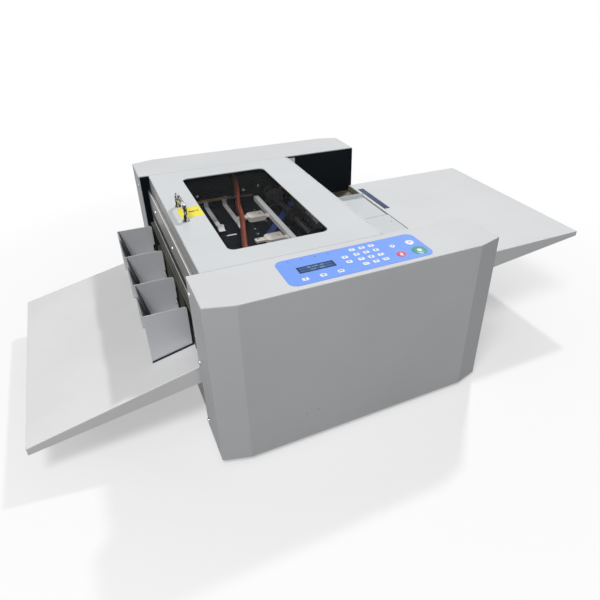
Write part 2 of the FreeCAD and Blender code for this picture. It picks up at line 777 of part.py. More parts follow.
def membrane_keys():
    z0 = cover_height + panel_film
    places = [(x, up) for x in keypad_x for up in keypad_up] + list(menu_keys)
    keys = [rounded_plate(x - key_w / 2, x + key_w / 2, panel_y0 + up - key_d / 2,
                          panel_y0 + up + key_d / 2, z0, z0 + key_h, key_corner) for x, up in places]
    keys += [rod_z(x, panel_y0 + up, r, z0, z0 + key_h) for x, up, r in round_keys]
    return group(keys)


def control_board():
    """Circuit board hung under the cover on four pillars, with the display on it."""
    z1 = cover_height - sheet - board_gap
    x0, x1 = panel_x0 + board_inset_x, panel_x1 - board_inset_x
    y0, y1 = panel_y0 + board_inset_y, panel_y1 - board_inset_y
    board = box(x0, x1, y0, y1, z1 - board_t, z1)
    pillars = [rod_z(x, y, pillar_r, z1, cover_height - sheet)
               for x in (x0 + pillar_inset, x1 - pillar_inset)
               for y in (y0 + pillar_inset, y1 - pillar_inset)]
    inset = display_lap + display_gap
    module = box(display_x0 + inset, display_x1 - inset, display_y0 + inset, display_y1 - inset,
                 z1, cover_height)
    z0 = z1 - board_t
    chip_y, plug_y = panel_y0 + chip_up, panel_y0 + plug_up
    chip = box(chip_x, chip_x + chip_w, chip_y, chip_y + chip_d, z0 - chip_h, z0)
    plug = box(plug_x, plug_x + plug_w, plug_y, plug_y + plug_d, z0 - plug_h, z0)
    return join([board, module, chip, plug] + pillars)


# ----------------------------------------------------------------- sheet infeed

def infeed_plate():
    """Fixed front plate of the infeed, level with the feed table."""
    z0 = feed_level - sheet
    top = box(infeed_x0, infeed_x1, -plate_in, infeed_split, z0, feed_level)
    legs = [box(x, x + sheet, -plate_in, -plate_in + infeed_leg, support_z1, z0)
            for x in (infeed_x0, infeed_x1 - infeed_leg_inset)]
    hem = box(infeed_x0, infeed_x0 + sheet, -plate_in, infeed_split, z0 - infeed_hem, z0)
    hole = rod_z(infeed_x1 - infeed_screw_in, infeed_screw_y, infeed_screw_r, z0 - over, feed_level + over)
    return join([top, hem] + legs).cut(hole)


def infeed_support():
    """Plain steel shelf across the machine, under the infeed plates."""
    x0, x1 = infeed_x0, feed_panel_x - sheet
    half = guide_stud_r + gap
    shelf = box(x0, x1, -plate_in, plate_in, support_z0, support_z1)
    ends = both_sides(box(x0, x1, plate_in - sheet, plate_in, support_z0 - support_flange, support_z0))
    slots = [box(x - half, x + half, guide_slot_y0, guide_slot_y1, support_z0 - over, support_z1 + over)
             for x in guide_studs_x]
    return join([shelf] + ends).cut(slots)


def side_guide():
    """Sliding rear plate: its raised rear edge is the side fence."""
    x0, x1 = infeed_x0 + sheet + gap, infeed_x1
    y0 = guide_y - guide_reach
    z0, z1 = guide_plate_z1 - sheet, guide_plate_z1
    top = box(x0, x1, y0, guide_y + sheet, z0, z1)
    lip = box(x0, x1, guide_y, guide_y + sheet, z0, feed_level + guide_lip)
    legs = [box(x, x + sheet, y0 + guide_leg_inset, guide_y, support_z1 + gap, z0)
            for x in (infeed_x0 + guide_leg_x, x1 - sheet)]
    return join([top, lip] + legs)


def guide_studs():
    """Studs under the side guide, which run in the shelf's slots."""
    z0, z1 = support_z0 - gap, guide_plate_z1 - sheet
    studs = []
    for x in guide_studs_x:
        stem = rod_z(x, guide_stud_y, guide_stud_r, z0, z1)
        head = rod_z(x, guide_stud_y, guide_stud_head_r, z0 - guide_stud_head, z0)
        studs.append(join([stem, head]))
    return group(studs)


def front_fence():
    x0, y1 = infeed_x0 + fence_inset, sheet_front
    wall = box(x0, infeed_x1, y1 - sheet, y1, feed_level, feed_level + fence_h)
    foot = box(x0, infeed_x1, y1 - fence_foot, y1, feed_level, feed_level + sheet)
    return join([wall, foot])


def feed_table():
    """Folded tray, level on top, with skirts that taper to its outer end."""
    x0, x1 = feed_panel_x, feed_end
    top = feed_level

    def low(x):
        return top - feed_skirt_end - feed_skirt_slope * (x1 - x)

    outer = prism_y([(x0, top), (x1, top), (x1, low(x1)), (x0, low(x0))], -feed_half, feed_half)
    folded = [e for e in outer.Edges if e.BoundBox.ZMin > top - 0.01
              and e.BoundBox.XMax > x0 + 1]
    folded += [e for e in outer.Edges if e.BoundBox.XMin > x1 - 0.01 and e.BoundBox.YLength < 0.01]
    outer = outer.makeFillet(bend, folded)
    inner = prism_y([(x0 + sheet, top - sheet), (x1 - sheet, top - sheet), (x1 - sheet, 0),
                     (x0 + sheet, 0)], -feed_half + sheet, feed_half - sheet)
    far = x1 - shelf_end
    near_z, far_z = low(x0) + shelf_rise, low(far) + shelf_rise
    shelf = prism_y([(x0 + sheet, near_z), (far, far_z), (far, far_z + sheet),
                     (x0 + sheet, near_z + sheet)], feed_half - shelf_w, feed_half - sheet)
    return join([outer.cut(inner)] + both_sides(shelf))


# ------------------------------------------------------------------ feed rollers

def shaft(x, z, y0, y1, radius=shaft_r):
    return rod_y(x, z, radius, y0, y1)


def tyre(x, z, r, y, width, bore=shaft_r):
    solid = rod_y(x, z, r, y - width / 2, y + width / 2)
    return solid.cut(rod_y(x, z, bore, y - width, y + width))


def feed_shaft():
    main = shaft(feed_x, feed_z, -seam_y - feed_shaft_end, seam_y + shaft_end)
    pulley = rod_y(feed_x, feed_z, pickup_pulley_r, belt_y - small_belt_w / 2, belt_y + small_belt_w / 2)
    return join([main, pulley])


def feed_rollers():
    return group([tyre(feed_x, feed_z, feed_roller_r, y, feed_roller_w) for y in feed_roller_y])


def feed_arm():
    """Swinging carrier of the pick-up roller: two cheeks and a bridge over the rollers."""
    x0, x1 = feed_x + arm_out, pickup_x - arm_out
    cheeks = []
    for y in (arm_y[0], arm_y[1] - arm_t):
        eyes = [rod_y(x, feed_z, arm_eye_r, y, y + arm_t) for x in (feed_x, pickup_x)]
        web = box(feed_x, pickup_x, y, y + arm_t, feed_z - arm_eye_r, feed_z + arm_eye_r)
        upright = box(x0, x1, y, y + arm_t, feed_z, arm_top)
        cheeks.append(join(eyes + [web, upright]))
    roof = box(x0, x1, arm_y[0], arm_y[1], arm_top - arm_roof_t, arm_top)
    bores = [rod_y(x, feed_z, shaft_r + run_fit, arm_y[0] - over, arm_y[1] + over)
             for x in (feed_x, pickup_x)]
    return join(cheeks + [roof]).cut(bores)


def pickup_shaft():
    main = shaft(pickup_x, feed_z, arm_y[0] - shaft_end, arm_y[1] + shaft_end)
    pulley = rod_y(pickup_x, feed_z, pickup_pulley_r, belt_y - small_belt_w / 2,
                   belt_y + small_belt_w / 2)
    return join([main, pulley])


def pickup_rollers():
    return group([tyre(pickup_x, feed_z, feed_roller_r, y, feed_roller_w) for y in feed_roller_y])


def belt_round(centres, radius, thickness, y0, y1):
    """Belt that runs round equal pulleys at the given X and Z places."""
    line = Part.makePolygon([V(x, y0, z) for x, z in centres + centres[:1]])
    inner = Part.Face(line.makeOffset2D(radius + gap, 0)).extrude(V(0, y1 - y0, 0))
    outer = Part.Face(line.makeOffset2D(radius + gap + thickness, 0)).extrude(V(0, y1 - y0, 0))
    return outer.cut(inner)


def pickup_belt():
    """Short belt inside the feed arm: two straight runs and two half turns."""
    half = small_belt_w / 2 - gap
    y0, y1 = belt_y - half, belt_y + half

    def loop(r):
        return join([rod_y(feed_x, feed_z, r, y0, y1), rod_y(pickup_x, feed_z, r, y0, y1),
                     box(feed_x, pickup_x, y0, y1, feed_z - r, feed_z + r)])

    inner = pickup_pulley_r + gap
    return loop(inner + small_belt_t).cut(loop(inner))


def retard_pad():
    return box(feed_x - retard_half, feed_x + retard_half, arm_y[0] + sheet, arm_y[1] - sheet,
               bed_low - retard_t, feed_level - run_fit)


def retard_holder():
    """Cradle under the bed that holds the separation pad."""
    x0, x1 = feed_x - retard_half, feed_x + retard_half
    y0, y1 = arm_y[0] - sheet, arm_y[1] + sheet
    z0 = bed_low - retard_t
    floor = box(x0, x1, y0, y1, z0 - retard_floor, z0)
    ears = [box(x0, x1, y, y + sheet, z0, bed_low) for y in (y0, y1 - sheet)]
    return join([floor] + ears)


# --------------------------------------------------------------------- slitter

def slit_shaft(z, far):
    hubs = [rod_y(slit_x, z, hub_r, y + knife_t, y + knife_t + hub_w) if z < feed_level
            else rod_y(slit_x, z, hub_r, y - gap - knife_t - hub_w, y - gap - knife_t)
            for y in divider_y]
    return join([shaft(slit_x, z, -far, seam_y + pulley_gap + gear_w + pulley_end)] + hubs)


def slit_shaft_lower():
    return slit_shaft(slit_low_z, seam_y + pulley_gap + pulley_w + pulley_end)


def slit_shaft_upper():
    return slit_shaft(slit_high_z, seam_y + shaft_end)


def slit_knives(z, y_shift):
    knives = []
    for y in divider_y:
        disc = rod_y(slit_x, z, knife_r, y + y_shift, y + y_shift + knife_t)
        edges = [e for e in disc.Edges if e.Curve.TypeId == "Part::GeomCircle"]
        ground = edges[0] if z > feed_level else edges[1]
        disc = disc.makeChamfer(knife_bevel, [ground])
        knives.append(disc.cut(rod_y(slit_x, z, shaft_r, y - hub_w, y + hub_w)))
    return group(knives)


def slit_knives_lower():
    return slit_knives(slit_low_z, 0)


def slit_knives_upper():
    return slit_knives(slit_high_z, -gap - knife_t)


def spur_gear(x, z, teeth, y0, width, half_tooth_turn):
    """Spur gear with straight-flanked teeth, thinned for backlash."""
    pitch = gear_module * teeth / 2
    root = pitch - 1.25 * gear_module
    tip = pitch + 0.9 * gear_module
    step = 2 * math.pi / teeth
    points = []
    for i in range(teeth):
        middle = i * step + (step / 2 if half_tooth_turn else 0)
        for r, share in ((root, -0.34), (tip, -0.10), (tip, 0.10), (root, 0.34)):
            a = middle + step * share - (gear_backlash / pitch / 2) * (1 if share > 0 else -1)
            points.append((x + r * math.cos(a), z + r * math.sin(a)))
    return prism_y(points, y0, y0 + width).cut(rod_y(x, z, shaft_r, y0 - over, y0 + width + over))


def slit_gear(z, turned):
    return spur_gear(slit_x, z, gear_teeth, seam_y + pulley_gap, gear_w, turned)


# ---------------------------------------------------------- transport and drive

def drive_pulley(x, z):
    """Pulley outside the front side plate, with a flange each side of the belt."""
    y0, y1 = pulley_y0, pulley_y1
    drum = rod_y(x, z, pulley_r, y0, y1)
    cheeks = [rod_y(x, z, pulley_r + belt_t + over, a, a + pulley_flange)
              for a in (y0, y1 - pulley_flange)]
    return join([drum] + cheeks).cut(rod_y(x, z, shaft_r, y0 - over, y1 + over))


def transport_shaft():
    return shaft(transport_x, transport_z, pulley_y0 - pulley_end, seam_y + shaft_end)


def transport_rollers():
    return group([tyre(transport_x, transport_z, transport_r, y, transport_w) for y in lane_y])


def exit_shaft():
    return shaft(exit_x, exit_low_z, pulley_y0 - pulley_end, seam_y + shaft_end)


def exit_rollers():
    return group([tyre(exit_x, exit_low_z, exit_roller_r, y, exit_roller_w) for y in lane_y])


def exit_idler_shaft():
    main = shaft(exit_x, exit_high_z, -seam_y - shaft_end, seam_y + shaft_end)
    wheels = [rod_y(exit_x, exit_high_z, exit_idler_r, y - exit_roller_w / 2, y + exit_roller_w / 2)
              for y in lane_y]
    return join([main] + wheels)


def shaft_bearings():
    """Flanged bearings in both side plates, flange on the inner face."""
    rings = []
    for x, z in shaft_places():
        sleeve = rod_y(x, z, bearing_r, plate_in, plate_in + bearing_width - bearing_flange)
        rim = rod_y(x, z, bearing_flange_r, plate_in - bearing_flange, plate_in)
        bore = rod_y(x, z, shaft_r + run_fit, plate_in - bearing_width, plate_in + bearing_width)
        rings += both_sides(join([sleeve, rim]).cut(bore))
    return group(rings)


def drive_belt():
    centres = [(exit_x, exit_low_z), (transport_x, transport_z), (slit_x, slit_low_z),
               (motor_x, motor_z)]
    return belt_round(centres, pulley_r, belt_t, pulley_y0 + pulley_flange + gap,
                      pulley_y1 - pulley_flange - gap)


def drive_motor():
    """Motor inside the frame, its face on the front side plate."""
    y1 = -plate_in + motor_l
    can = rod_y(motor_x, motor_z, motor_r, -plate_in, y1)
    rim = [e for e in can.Edges if abs(e.CenterOfMass.y - y1) < 0.01]
    can = can.makeFillet(motor_rim, rim)
    boss = rod_y(motor_x, motor_z, shaft_r + motor_boss, -seam_y - over, -plate_in)
    bore = rod_y(motor_x, motor_z, shaft_r + run_fit, -seam_y - 2 * over, -plate_in + motor_bore)
    terminals = box(motor_x - terminal_half_x, motor_x + terminal_half_x, y1, y1 + terminal_l,
                    motor_z - terminal_half_z, motor_z + terminal_half_z)
    return join([can, boss, terminals]).cut(bore)


def motor_spindle():
    return shaft(motor_x, motor_z, pulley_y0 - pulley_end, -plate_in + spindle_l)


def gear_motor(x, z, side, case, length):
    """Geared motor on a side plate's outer face, round a hollow output bore."""
    x0, x1, z0, z1 = x + case[0], x + case[1], z + case[2], z + case[3]
    face = seam_y + gear_pad
    back = face + gear_case
    body = box(x0, x1, face, back, z0, z1)
    pads = [rod_y(a, c, gear_pad_r, seam_y, face)
            for a in (x0 + gear_pad_r, x1 - gear_pad_r) for c in (z0 + gear_pad_r, z1 - gear_pad_r)]
    can_r = min(x1 - x0, z1 - z0) / 2 - gear_pad
    can = rod_y((x0 + x1) / 2, (z0 + z1) / 2, can_r, back, back + length)
    bore = rod_y(x, z, shaft_r + run_fit, seam_y - over, back - gear_pad)
    ring = rod_y(x, z, bearing_r + gap, seam_y - over, face + over)
    solid = join([body, can] + pads).cut([bore, ring])
    return solid if side > 0 else mirror_y(solid)


def feed_motor():
    return gear_motor(feed_x, feed_z, -1, feed_case, feed_can)


def cutter_motor():
    return gear_motor(cam_x, cam_z, 1, cutter_case, cutter_can)


# -------------------------------------------------------------------------- bed

def bed_plate():
    """Black bed under the sheets, with slots for knives, rollers and cutter legs."""
    x0, x1 = cut_x + bed_back, infeed_x0 - bed_front
    half = plate_in
    z0, z1 = bed_low - over, bed_top + over
    top = box(x0, x1, -half, half, bed_low, bed_top)
    rims = both_sides(box(x0, x1, half - bed_sheet, half, bed_low - bed_rim, bed_low))
    knife_half = knife_r + bed_room
    cuts = [box(slit_x - knife_half, slit_x + knife_half, y - knife_slot, y + knife_slot, z0, z1)
            for y in divider_y]
    roller_half = transport_w / 2 + bed_room
    cuts += [box(transport_x - transport_r + over, transport_x + transport_r - over,
                 y - roller_half, y + roller_half, z0, z1) for y in lane_y]
    cuts.append(box(feed_x - retard_half - over, x1 + over, arm_y[0], arm_y[1], z0, z1))
    bearings = [rod_y(x, z, bearing_flange_r + over, -half - over, half + over)
                for x, z in shaft_places()]
    rims = [rim.cut(bearings) for rim in rims]
    leg = box(x0 - over, beam_x1 + over, leg_in - over, half + over, bed_low - 2 * bed_rim, z1)
    return join([top] + rims).cut(cuts + both_sides(leg))


def guide_bar():
    """White bar over the bed, behind the slitter; it carries the pressure blocks."""
    return box(bar_x0, bar_x1, -plate_in, plate_in, bar_z0, bar_z1)


def pressure_block(y):
    """Block that presses one lane's sheet on its roller, with a lifting tab."""
    nose, half, tab = block_nose, block_half, block_tab_half
    plan = [(block_x0, y - half + nose), (block_x0 + nose, y - half), (block_x1, y - half),
            (block_x1, y + half), (block_x0 + nose, y + half), (block_x0, y + half - nose)]
    body = face_xy(plan, block_z0).extrude(V(0, 0, block_z1 - block_z0))
    handle = rounded_plate(block_x0 - block_tab, block_x0 + over, y - tab, y + tab,
                           block_z1 - over - block_tab_t, block_z1 - over, block_tab_corner)
    tongue = box(block_x1 - over, bar_x0, y - tab, y + tab, block_z0 + over, block_z0 + over + block_tab_t)
    well = box(transport_x - idler_r - over, transport_x + idler_r + over, y - idler_w / 2 - gap,
               y + idler_w / 2 + gap, block_z0 - over, block_z1 - over)
    axle = rod_y(transport_x, idler_z, idler_pin_r, y - idler_w / 2 - 2 * over, y + idler_w / 2 + 2 * over)
    return join([join([body, handle, tongue]).cut(well), axle])


def pressure_blocks():
    return group([pressure_block(y) for y in lane_y])


def lane_idlers():
    return group([tyre(transport_x, idler_z, idler_r, y, idler_w, idler_pin_r + run_fit) for y in lane_y])


def clear_guides():
    """Two clear strips that hold the sheet down, fixed to the rear side plate."""
    z0 = feed_level + hold_z
    strips = []
    for x in strip_x:
        strip = box(x - strip_half, x + strip_half, plate_in - strip_reach, plate_in, z0, z0 + hold_t)
        foot = box(x - strip_half, x + strip_half, plate_in - hold_t, plate_in, z0, z0 + hold_foot)
        strips.append(join([strip, foot]))
    return group(strips)


harness_points = [
    (harness_end_x, seam_y + harness_out, harness_end_z + 1), (harness_end_x, plate_in - 8, harness_end_z),
    (harness_end_x, plate_in - 19, harness_end_z - 12),
    (harness_end_x + 0.5, plate_in - 18, feed_level + 34),
    (harness_end_x - 1, plate_in - 26, feed_level + 21), (harness_end_x - 9, plate_in - 51, feed_level + 19),
    (harness_end_x - 15, 95.0, feed_level + 18), (harness_end_x - 33, 30.0, feed_level + 14),
    (harness_end_x - 50, -35.0, feed_level + 14), (harness_end_x - 58, -95.0, feed_level + 16),
    (harness_front_x + 1, -plate_in + 41, harness_front_z),
    (harness_front_x, -plate_in + 11, harness_front_z),
    (harness_front_x, -seam_y - harness_out, harness_front_z)]
harness_bend = 0.45        # share of the shorter run that each bend takes up


def rounded_path(points, share):
    """Straight runs through the points, joined by tangent arcs."""
    points = [V(*p) for p in points]
    edges = []
    start = points[0]
    for before, corner, after in zip(points, points[1:], points[2:]):
        run_in, run_out = corner - before, after - corner
        half_turn = run_in.getAngle(run_out) / 2
        cut = share * min(run_in.Length, run_out.Length)
        radius = cut / math.tan(half_turn)
        a = corner - V(run_in).normalize() * cut
        b = corner + V(run_out).normalize() * cut
        inward = (a + b) * 0.5 - corner
        middle = corner + V(inward).normalize() * (radius / math.cos(half_turn) - radius)
        edges.append(Part.LineSegment(start, a).toShape())
        edges.append(Part.Arc(a, middle, b).toShape())
        start = b
    edges.append(Part.LineSegment(start, points[-1]).toShape())
    return Part.Wire(edges)


def wiring_harness():
    path = rounded_path(harness_points, harness_bend)
    first = V(*harness_points[1]) - V(*harness_points[0])
    ring = Part.Wire(Part.makeCircle(harness_r, V(*harness_points[0]), first))
    return path.makePipeShell([ring], True, False)


# ---------------------------------------------------------------- cross cutter

def upper_blade():
    """Blade with a sloping edge, so that it shears across the sheet."""
    z0 = feed_level + blade_open
    z1 = z0 + blade_height
    outline = [V(cut_x, -blade_half, z0), V(cut_x, blade_half, z0 + blade_rake),
               V(cut_x, blade_half, z1), V(cut_x, -blade_half, z1), V(cut_x, -blade_half, z0)]
    return Part.Face(Part.makePolygon(outline)).extrude(V(blade_t, 0, 0))


def cutter_beam():
    """Beam that carries the upper blade, on two legs with feet under the cams."""
    bar = box(beam_x0, beam_x1, -leg_out, leg_out, beam_z0, beam_z1)
    legs = both_sides(box(beam_x0, beam_x1, leg_in, leg_out, foot_z - foot_t, beam_z1))
    feet = both_sides(box(cam_x - foot_t, beam_x1, leg_in, cam_in + cam_w, foot_z - foot_t, foot_z))
    return join([bar] + legs + feet)


def beam_guides():
    """Strips on the side plates that keep the beam's legs upright."""
    strips = []
    for x0 in (beam_x0 - gap - guide_strip, beam_x1 + gap):
        strips += both_sides(box(x0, x0 + guide_strip, leg_in + sheet, plate_in,
                                 feed_level + blade_open, beam_z1 - blade_open))
    return group(strips)


def anvil_beam():
    x1 = cut_x - gap
    z1 = lower_blade_top - lower_blade_height
    return box(x1 - anvil_t, x1, -plate_in, plate_in, z1 - anvil_height, z1)


def lower_blade():
    x1, half = cut_x - gap, blade_half + lower_blade_lap
    return box(x1 - lower_blade_t, x1, -half, half, lower_blade_top - lower_blade_height, lower_blade_top)


def cam_point(angle):
    """Point of a flat-foot cam whose lift grows evenly with its turn."""
    lift = cam_base + cam_rise * angle
    return (cam_x + lift * math.sin(angle) + cam_rise * math.cos(angle),
            cam_z - lift * math.cos(angle) + cam_rise * math.sin(angle))


def snail_cam(y0):
    points = [cam_point(math.pi * (i - 1) / (cam_steps - 2)) for i in range(cam_steps)]
    flank = Part.BSplineCurve()
    flank.interpolate([V(x, y0, z) for x, z in points])
    back = Part.makePolygon([V(points[-1][0], y0, points[-1][1]), V(points[0][0], y0, points[0][1])])
    lobe = Part.Face(Part.Wire([flank.toShape()] + back.Edges)).extrude(V(0, cam_w, 0))
    hub = rod_y(cam_x, cam_z, cam_base - gap, y0, y0 + cam_w)
    return join([lobe, hub]).cut(rod_y(cam_x, cam_z, shaft_r, y0 - over, y0 + cam_w + over))


def lift_cams():
    return group([snail_cam(cam_in), snail_cam(-cam_in - cam_w)])


def cam_shaft():
    return shaft(cam_x, cam_z, -seam_y - shaft_end, seam_y + gear_case - over)


def spring_posts():
    seat = rod_z(spring_x, spring_y, spring_r + post_wall, base_top, spring_seat_z)
    spigot = rod_z(spring_x, spring_y, spring_r - spring_wire - spigot_room, spring_seat_z,
                   spring_seat_z + post_spigot)
    return group(both_sides(join([seat, spigot])))


def return_springs():
    """Coil springs that push the beam back up."""
    height = spring_top - spring_seat_z - 2 * spring_wire - gap
    z0 = spring_seat_z + spring_wire + gap / 2
    mean = spring_r - spring_wire
    helix = Part.makeHelix(height / spring_turns, height, mean)
    helix.translate(V(spring_x, spring_y, z0))
    ring = Part.Wire(Part.makeCircle(spring_wire, V(spring_x + mean, spring_y, z0), AY))
    coil = Part.Wire(helix.Edges).makePipeShell([ring], True, True)
    return group(both_sides(coil))


# ------------------------------------------------------------------- exit side

def exit_cover_plate():
    """Upper plate of the exit, below the lid's flange."""
    x0 = exit_plate_x
    z0, z1 = feed_level + exit_plate_low, cover_height - exit_plate_drop
    wall = box(x0, x0 + sheet, -plate_in, plate_in, z0, z1)
    hem = box(x0 - exit_hem, x0, -plate_in, plate_in, z1 - sheet, z1)
    tabs = both_sides(box(x0, x0 + exit_plate_tab, plate_in - sheet, plate_in, z0, z1))
    return join([wall, hem] + tabs)


def exit_lip_bar():
    """Bright bar that the cards slide over as they leave."""
    return box(exit_plate_x - lip_bar_out, exit_plate_x + lip_bar_in, -lip_bar_half, lip_bar_half,
               feed_level - exit_wall_drop, feed_level - lip_bar_drop)


def exit_height(x):
    return exit_top + exit_slope * (x + end_x)


def exit_table():
    """Sloping tray that carries the bins and catches cards."""
    x0, x1 = exit_end, exit_panel_x - sheet

    def low(x):
        return exit_height(x) - exit_skirt_end - exit_skirt_slope * (x - x0)

    outer = prism_y([(x0, exit_height(x0)), (x1, exit_height(x1)), (x1, low(x1)), (x0, low(x0))],
                    -exit_half, exit_half)
    folded = [e for e in outer.Edges if e.BoundBox.ZMin > exit_height(x0) - 0.01
              and e.BoundBox.XMin < x0 + 1 and e.BoundBox.ZMax < exit_height(x1) + 0.01]
    folded += [e for e in outer.Edges if e.BoundBox.XMax < x0 + 0.01 and e.BoundBox.YLength < 0.01]
    outer = outer.makeFillet(bend, folded)
    inner = prism_y([(x0 + sheet, exit_height(x0 + sheet) - sheet),
                     (x1 - sheet, exit_height(x1 - sheet) - sheet),
                     (x1 - sheet, 0), (x0 + sheet, 0)], -exit_half + sheet, exit_half - sheet)
    return outer.cut(inner)


def bin_back(z):
    """X of the bins' leaning backs, which stand square to the exit table."""
    return bin_left + exit_slope * (bin_top - z)


def bin_foot():
    """Height at which the leaning backs' plane meets the exit table."""
    lean = 1 + exit_slope * exit_slope
    return bin_top - (bin_top - exit_height(bin_left)) / lean


def leaning_sheet(inwards, y0, y1):
    """Sheet along the leaning backs, moved towards the machine and clear of the foot strips."""
    low = exit_height(bin_back(bin_foot()) + inwards + bin_sheet) + strip_t + 2 * gap
    x0, x1 = bin_left + inwards, bin_back(low) + inwards
    return prism_y([(x0, bin_top), (x0 + bin_sheet, bin_top), (x1 + bin_sheet, low), (x1, low)], y0, y1)


def divider_plate(y):
    right = bin_right - strip_t
    low = strip_t + gap
    return prism_y([(bin_left, bin_top), (right, bin_top), (right, exit_height(right) + low),
                    (bin_left, exit_height(bin_left) + low)], y, y + bin_sheet)


def bin_divider(index):
    """One card-bin wall, with the leaning back of its own bin and a lip over its neighbour's."""
    y = divider_y[index] - bin_sheet / 2
    wall = divider_plate(y)
    reach = 2 * bin_slide + strip_w / 2 + bin_play
    if index > 0:
        z0 = bin_foot() + notch_up
        wall = wall.cut(box(bin_right - strip_t - notch_in, bin_right, y - over, y + bin_sheet + over,
                            z0, z0 + notch_h))
        wall = join([wall, leaning_sheet(bin_sheet + bin_clear, y - reach - bin_lap, y)])
    if index < len(divider_y) - 1:
        wall = join([wall, leaning_sheet(0, y + bin_sheet, divider_y[index + 1] - reach)])
    return wall


def divider_strip(index):
    """Black magnetic strip under a divider, turned up along its machine-side edge."""
    y = divider_y[index]
    left, right = bin_left, bin_right
    z_left, z_right = exit_height(left) + gap, exit_height(right) + gap
    foot = prism_y([(left, z_left), (right, z_right), (right, z_right + strip_t), (left, z_left + strip_t)],
                   y - strip_w / 2, y + strip_w / 2)
    edge = box(right - strip_t, right, y - strip_w / 4, y + strip_w / 4, z_right, bin_top - strip_drop)
    return join([foot, edge]).cut(divider_plate(y - bin_sheet / 2))


def bin_wall(index):
    return group([bin_divider(index), divider_strip(index)])


# ------------------------------------------------------------------ waste tray

def waste_tray():
    """Open tray whose front stands in the exit end panel's opening, with a finger hole."""
    x0, x1 = tray_left, tray_right
    z1 = tray_z0 + tray_height
    outer = box(x0, x1, -tray_half, tray_half, tray_z0, z1)
    inner = box(x0 + sheet, x1 - sheet, -tray_half + sheet, tray_half - sheet, tray_z0 + sheet, z1 + over)
    front_x = exit_panel_x - sheet - gap
    front = box(front_x - tray_front, front_x, -tray_half - tray_front_lap, tray_half + tray_front_lap,
                base_raise + gap, z1 + tray_front_lap)
    link = box(front_x, x0, -tray_half, tray_half, tray_z0, tray_z0 + sheet)
    sides = both_sides(box(front_x, x0, tray_half - sheet, tray_half, tray_z0, z1))
    middle = z1 - finger_drop
    ends = [rod_x(y, middle, finger_h / 2, front_x - 2 * tray_front, front_x + over)
            for y in (-finger_half + finger_h / 2, finger_half - finger_h / 2)]
    slot = box(front_x - 2 * tray_front, front_x + over, -finger_half + finger_h / 2,
               finger_half - finger_h / 2, middle - finger_h / 2, middle + finger_h / 2)
    return join([outer.cut(inner), front, link] + sides).cut(ends + [slot])


def tray_runners():
    return both_sides(box(exit_panel_x + runner_inset_x0, tray_right - runner_inset_x1,
                          tray_half - runner_in, tray_half - runner_out, base_top, tray_z0 - gap))


# ------------------------------------------------------------------ electronics

def power_supply():
    """Closed supply on the rear side plate, with rows of slots in its rear face."""
    y1 = seam_y + supply_d
    case = box(supply_x0, supply_x1, seam_y, y1, supply_z0, supply_z1)
    starts = [supply_x0 + supply_slot_x + supply_slot_pitch * i for i in range(supply_slots)]
    slots = [box(x - supply_slot_w / 2, x + supply_slot_w / 2, y1 - supply_slot_d, y1 + over,
                 supply_z0 + supply_slot_z, supply_z1 - supply_slot_z) for x in starts]
    return case.cut(slots)


def main_board():
    x0, x1, z0, z1 = main_x0, main_x1, main_z0, main_z1
    y0 = seam_y + main_gap
    y1 = y0 + board_t
    board = box(x0, x1, y0, y1, z0, z1)
    pillars = [rod_y(x, z, pillar_r, seam_y, y0)
               for x in (x0 + pillar_inset, x1 - pillar_inset)
               for z in (z0 + pillar_inset, z1 - pillar_inset)]
    chip = box(x0 + 14, x0 + 40, y1, y1 + 4, z0 + 20, z0 + 46)
    sockets = box(x0 + 12, x1 - 12, y1, y1 + 9, z1 - 14, z1 - 5)
    relay = box(x0 + 60, x0 + 84, y1, y1 + 14, z0 + 14, z0 + 34)
    capacitors = [rod_y(x, z0 + 20, 5, y1, y1 + 18) for x in (x0 + 96, x0 + 108)]
    return join([board, chip, sockets, relay] + capacitors + pillars)


def power_inlet():
    """Three-pin appliance inlet in the rear cover's end face."""
    body = end_box(-inlet_depth, 0, inlet_z, inlet_w, inlet_h)
    flange = end_box(0, inlet_flange_t, inlet_z, inlet_flange_w, inlet_flange_h)
    level = [e for e in flange.Edges if abs(e.tangentAt(e.FirstParameter).x) > 0.99]
    flange = flange.makeFillet(inlet_corner, level)
    socket = end_box(-socket_depth, inlet_flange_t + over, inlet_z, socket_w, socket_h)
    pins = [box(end_x - socket_depth - over, end_x - pin_drop, entry_y + dy - pin_half_w,
                entry_y + dy + pin_half_w, inlet_z + dz - pin_half_t, inlet_z + dz + pin_half_t)
            for dy, dz in pin_places]
    return join([join([body, flange]).cut(socket)] + pins)


def switch_housing():
    body = end_box(-switch_depth, 0, switch_z, switch_w, switch_h)
    frame = end_box(0, switch_frame_t, switch_z, switch_w, switch_h, switch_frame)
    well = end_box(-switch_well, switch_frame_t + over, switch_z, switch_well_w, switch_well_h)
    return join([body, frame]).cut(well)


def power_rocker():
    """Rocker whose face is a shallow V, pressed over to one side."""
    half = rocker_half
    x0, x1 = rocker_x - rocker_back, end_x + rocker_out
    outline = [(x1, switch_z - half), (x1 - rocker_dip, switch_z), (x1, switch_z + half),
               (x0, switch_z + half - rocker_taper), (x0, switch_z - half + rocker_taper)]
    rocker = prism_y(outline, entry_y - rocker_half_w, entry_y + rocker_half_w)
    rocker.rotate(V(rocker_x, entry_y, switch_z), AY, -rocker_tilt)
    return rocker


# ----------------------------------------------------------------------- export

def lower_slitter():
    """Driven knife shaft: shaft with hubs, four knives, gear and belt pulley."""
    gear = slit_gear(slit_low_z, False)
    return group([slit_shaft_lower(), slit_knives_lower(), gear, drive_pulley(slit_x, slit_low_z)])


def upper_slitter():
    return group([slit_shaft_upper(), slit_knives_upper(), slit_gear(slit_high_z, True)])


